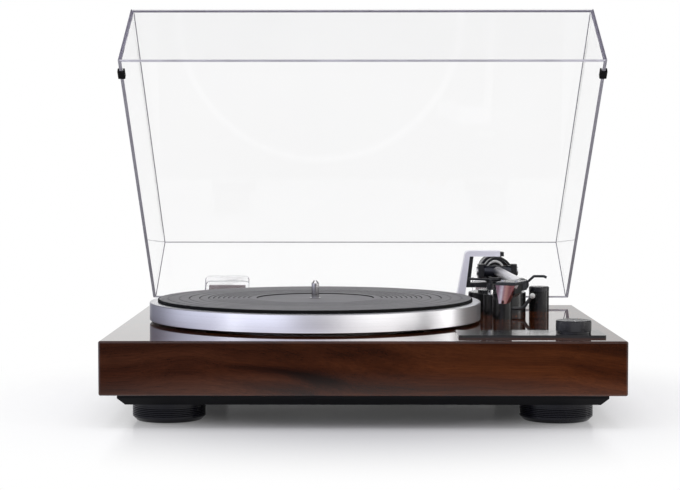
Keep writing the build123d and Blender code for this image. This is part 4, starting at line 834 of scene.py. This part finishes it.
# %% Counterweight
pivot_place = Matrix.Translation(pivot_centre) @ Matrix.Rotation(tube_turn, 4, "Z")
along_arm = pivot_place @ Matrix.Rotation(math.radians(-90.0), 4, "X")
stub, weight_radius, weight_near, weight_far = 5.1, 14.5, 24.0, 43.8
knurl_near, knurl_far, columns, press = 33.6, 42.6, 96, 0.978
outline = [
    (stub, 24.8), (8.8, 24.8), (9.2, 24.4), (9.6, 24.8), (12.2, 24.8), (12.6, weight_near),
    (13.9, weight_near), (weight_radius, 24.6), (weight_radius, 30.6), (14.0, 31.0), (14.0, 32.6),
    (weight_radius, 33.0), (weight_radius, knurl_near), (weight_radius, knurl_far),
    (weight_radius, 43.0), (13.8, weight_far), (6.4, weight_far), (stub, 43.2),
]
weight = turned(outline, columns)
pressed = [
    v for v in weight.verts
    if knurl_near - 0.1 < v.co.z / MM < knurl_far + 0.1 and v.co.xy.length > 14.4 * MM
    and round(math.atan2(v.co.y, v.co.x) / math.tau * columns) % 2
]
bmesh.ops.scale(weight, vec=(press, press, 1.0), verts=pressed)
bmesh.ops.transform(weight, matrix=along_arm, verts=weight.verts)
finish("knurled_weight", weight, [weight_metal], "counterweight", ["counterweight"], 25.0)

# %% Force dial
dial_near, dial_far, dial_radius, hub_radius = 18.5, 23.7, 9.7, 7.5
marks, mark_half, mark_low, short_mark, long_mark = 24, 0.14, 19.4, 21.2, 22.6
outline = [
    (stub, 19.4), (hub_radius - 0.2, 19.4), (hub_radius, 19.2), (hub_radius, dial_near), (9.0, dial_near),
    (9.5, 19.0), (9.5, 23.2), (9.0, dial_far), (stub, dial_far),
]
dial = turned(outline, 96)
for face in dial.faces:
    face.material_index = int(face.calc_center_median().xy.length < (hub_radius + 0.05) * MM)
for i in range(marks):
    mark_high = short_mark if i % 4 else long_mark
    made = block(dial, (-mark_half, 9.3, mark_low), (mark_half, dial_radius - 0.02, mark_high))
    bmesh.ops.rotate(dial, matrix=Matrix.Rotation(math.tau * i / marks, 3, "Z"), verts=made)
    for face in {f for v in made for f in v.link_faces}:
        face.material_index = 1
bmesh.ops.transform(dial, matrix=along_arm, verts=dial.verts)
finish("marked_dial", dial, [dial_white, body_black], "force_dial", ["force_dial"], 30.0)

# %% [markdown]
# ## The speed knob
#
# The knob is a moulded cap on a stem, with a soft top edge, a slightly dished top and a pointer
# line. Its outline starts and ends on its own axis, so the spun shape is closed. Its side carries
# very fine ribs for grip. They are too fine to read one by one from the front, but they break up
# its reflection into upright streaks, as on the real one.

# %% Knob
knob_x, knob_y, knob_low, knob_top, knob_radius, ribs = 179.0, -131.0, 2.1, 13.0, 15.0, 120
stem_radius, stem_low, press = 3.0, -25.2, 0.987
outline = [
    (0.0, stem_low), (stem_radius, stem_low), (stem_radius, knob_low), (14.4, knob_low),
    (14.6, knob_low + 0.2), (14.6, 3.6), (knob_radius, 3.9),
    (knob_radius, 11.6), (14.8, 12.3), (14.3, 12.85), (13.7, knob_top), (12.6, 12.8), (0.0, 12.5),
]
knob = turned(outline, 2 * ribs, closed=False)
pressed = [
    v for v in knob.verts
    if 3.8 < v.co.z / MM < 11.7 and v.co.xy.length > 14.9 * MM
    and round(math.atan2(v.co.y, v.co.x) / math.tau * 2 * ribs) % 2
]
bmesh.ops.scale(knob, vec=(press, press, 1.0), verts=pressed)
bmesh.ops.recalc_face_normals(knob, faces=knob.faces)
pointer = block(knob, (-0.4, -13.4, 12.3), (0.4, -6.0, 12.95))
for face in {f for v in pointer for f in v.link_faces}:
    face.material_index = 1
bmesh.ops.translate(knob, vec=Vector((knob_x, knob_y, deck)) * MM, verts=knob.verts)
finish("ribbed_knob", knob, [knob_black, dial_white], "speed_knob", ["speed_knob"], 25.0)

# %% [markdown]
# ## Floor, room and lamps
#
# The photograph is a white-on-white studio shot: a glossy pale table that fades into the
# background, and large soft lamps to the left, the right and above. The floor keeps the object's
# shadow and a faint reflection near it, and turns to the background's white further out.
#
# The world plays three parts. Seen by the camera, or level through the clear lid, it is white.
# As a lamp it is dimmer. Mirrored in metal and lacquer it is a ring of soft boxes, somewhat
# stronger: lilac white to the left, warm white to the right, and dark behind. Near the height of
# the table the middle of the ring is dark too, which gives the deck's lacquer its depth.

# %% Floor
mesh = bpy.data.meshes.new("table_top")
builder = bmesh.new()
bmesh.ops.create_grid(builder, x_segments=2, y_segments=2, size=6.0)
builder.to_mesh(mesh)
builder.free()
floor = bpy.data.objects.new("table_top", mesh)
bpy.context.scene.collection.objects.link(floor)
print("floor", len(mesh.polygons), "faces")

# %% Floor's finish
shadow_ends, white_starts = 0.15, 0.44
mirror_fades, mirror_gone = 0.28, 0.62
floor_white, tree, shader = new_material("table_white", Roughness=0.14, IOR=1.3)
place = object_coordinates(tree)
tone = spread(tree, noise(tree, place, 3.0, 2.0), 0.93, 0.945)
links = {0: tone, 1: tone, 2: maths(tree, "ADD", tone, 0.045)}
tree.links.new(add(tree, "ShaderNodeCombineColor", links).outputs[0], shader.inputs["Base Color"])
away = add(tree, "ShaderNodeVectorMath", {0: place}, operation="LENGTH").outputs["Value"]
path = add(tree, "ShaderNodeLightPath").outputs
seen = maths(tree, "MAXIMUM", path["Is Camera Ray"], path["Is Glossy Ray"])
seen = maths(tree, "MAXIMUM", seen, path["Is Transmission Ray"])
share = maths(tree, "MULTIPLY", fade(tree, away, shadow_ends, white_starts, 0.03), seen)
white = add(tree, "ShaderNodeEmission", {"Color": (1.0, 1.0, 1.0, 1.0), "Strength": 1.0})
both = add(tree, "ShaderNodeMixShader", {0: share, 1: shader.outputs[0], 2: white.outputs[0]})
mirrored = maths(tree, "MULTIPLY", fade(tree, away, mirror_fades, mirror_gone), path["Is Glossy Ray"])
open_floor = add(tree, "ShaderNodeBsdfTransparent")
both = add(tree, "ShaderNodeMixShader", {0: mirrored, 1: both.outputs[0], 2: open_floor.outputs[0]})
tree.links.new(both.outputs[0], tree.nodes["Material Output"].inputs["Surface"])
floor.data.materials.append(floor_white)
print("floor finish", len(tree.nodes), "nodes")

# %% Soft boxes that metal and lacquer mirror
world = bpy.data.worlds.new("studio")
bpy.context.scene.world = world
world.use_nodes = True
tree = world.node_tree
tree.nodes.clear()
path = add(tree, "ShaderNodeLightPath").outputs
direction = add(tree, "ShaderNodeTexCoord").outputs["Generated"]
axes = add(tree, "ShaderNodeSeparateXYZ", {0: direction}).outputs
bearing = maths(tree, "ARCTAN2", axes[0], maths(tree, "MULTIPLY", axes[1], -1.0))
turn = remap(tree, bearing, -math.pi, math.pi, 0.0, 1.0)
left_white, right_white, dim_white = (0.70, 0.715, 0.84), (1.0, 0.99, 0.98), (0.9, 0.89, 0.88)
dark_front = (0.05, 0.04, 0.04)
rear_left = [
    (-166.0, (0.66, 0.66, 0.66)), (-158.0, (0.08, 0.08, 0.1)), (-128.0, (0.12, 0.12, 0.15)),
    (-98.0, (0.42, 0.43, 0.52)),
]
rear_right = [(114.0, (0.07, 0.07, 0.07)), (158.0, (0.06, 0.06, 0.06)), (166.0, (0.49, 0.49, 0.49))]


def ring(front):
    """Colours round the room by bearing in degrees: 0 is towards the camera and 90 to the right."""
    stops = rear_left + front + rear_right
    return ramp(tree, turn, [((degrees + 180.0) / 360.0, colour) for degrees, colour in stops])


level_boxes = ring([
    (-60.0, left_white), (-4.0, (0.80, 0.81, 0.93)), (10.0, (0.78, 0.77, 0.82)), (30.0, right_white),
    (88.0, right_white),
])
table_edge = ring([
    (-36.0, left_white), (-19.0, (0.55, 0.56, 0.66)), (-9.0, dark_front), (9.0, dark_front),
    (24.0, (0.5, 0.49, 0.5)), (44.0, dim_white), (88.0, dim_white),
])
above_table = remap(tree, axes[2], -0.05, 0.03, 0.0, 1.0)
boxes = mix_colours(tree, above_table, table_edge, level_boxes)
overhead = fade(tree, axes[2], 0.55, 0.8)
boxes = mix_colours(tree, overhead, boxes, (0.2, 0.2, 0.21, 1.0))
print("soft boxes", len(tree.nodes), "nodes")

# %% Room
lamp_grey, steep_grey, white = (0.42, 0.42, 0.425, 1.0), (0.3, 0.3, 0.31, 1.0), (1.0, 1.0, 1.0, 1.0)
mirror_strength = 1.6
room = mix_colours(tree, path["Is Glossy Ray"], lamp_grey, boxes)
room = mix_colours(tree, path["Is Transmission Ray"], room, steep_grey)
near_level = remap(tree, maths(tree, "ABSOLUTE", axes[2]), 0.45, 0.7, 1.0, 0.0)
through = maths(tree, "MULTIPLY", path["Is Transmission Ray"], near_level)
seen = maths(tree, "MAXIMUM", path["Is Camera Ray"], through)
room = mix_colours(tree, seen, room, white)
mirrored = maths(tree, "SUBTRACT", path["Is Glossy Ray"], path["Is Transmission Ray"], True)
strength = remap(tree, mirrored, 0.0, 1.0, 1.0, mirror_strength)
background = add(tree, "ShaderNodeBackground", {"Color": room, "Strength": strength})
add(tree, "ShaderNodeOutputWorld", {"Surface": background.outputs[0]})
print("room", len(tree.nodes), "nodes")


# %% Lamps
def soft_lamp(name, place, aim, width, height, power, colour=(1.0, 1.0, 1.0), mirrored=False):
    """An area lamp in metres and watts. One that is mirrored also shows in reflections."""
    data = bpy.data.lights.new(name, "AREA")
    data.shape = "RECTANGLE"
    data.size = width
    data.size_y = height
    data.energy = power
    data.color = colour
    lamp = bpy.data.objects.new(name, data)
    bpy.context.scene.collection.objects.link(lamp)
    lamp.location = place
    lamp.rotation_euler = (Vector(aim) - Vector(place)).to_track_quat("-Z", "Y").to_euler()
    lamp.visible_glossy = mirrored


soft_lamp("lamp_above", (0.0, -0.25, 1.9), (0.0, 0.0, 0.0), 1.8, 1.2, 15.0)
soft_lamp("lamp_left", (-1.35, -0.75, 0.55), (0.0, 0.0, 0.08), 0.5, 1.1, 5.5, (0.95, 0.97, 1.0))
soft_lamp("lamp_right", (1.35, -0.75, 0.55), (0.0, 0.0, 0.08), 0.5, 1.1, 5.0)
soft_lamp(
    "strip_right", (1.30, 0.24, 0.35), (0.05, 0.0, 0.1), 0.11, 0.8, 1.6, (1.0, 0.99, 0.97), mirrored=True
)
soft_lamp(
    "strip_left", (-1.05, -0.75, 0.3), (0.0, 0.0, 0.05), 0.12, 0.7, 0.4, (0.93, 0.95, 1.0), mirrored=True
)
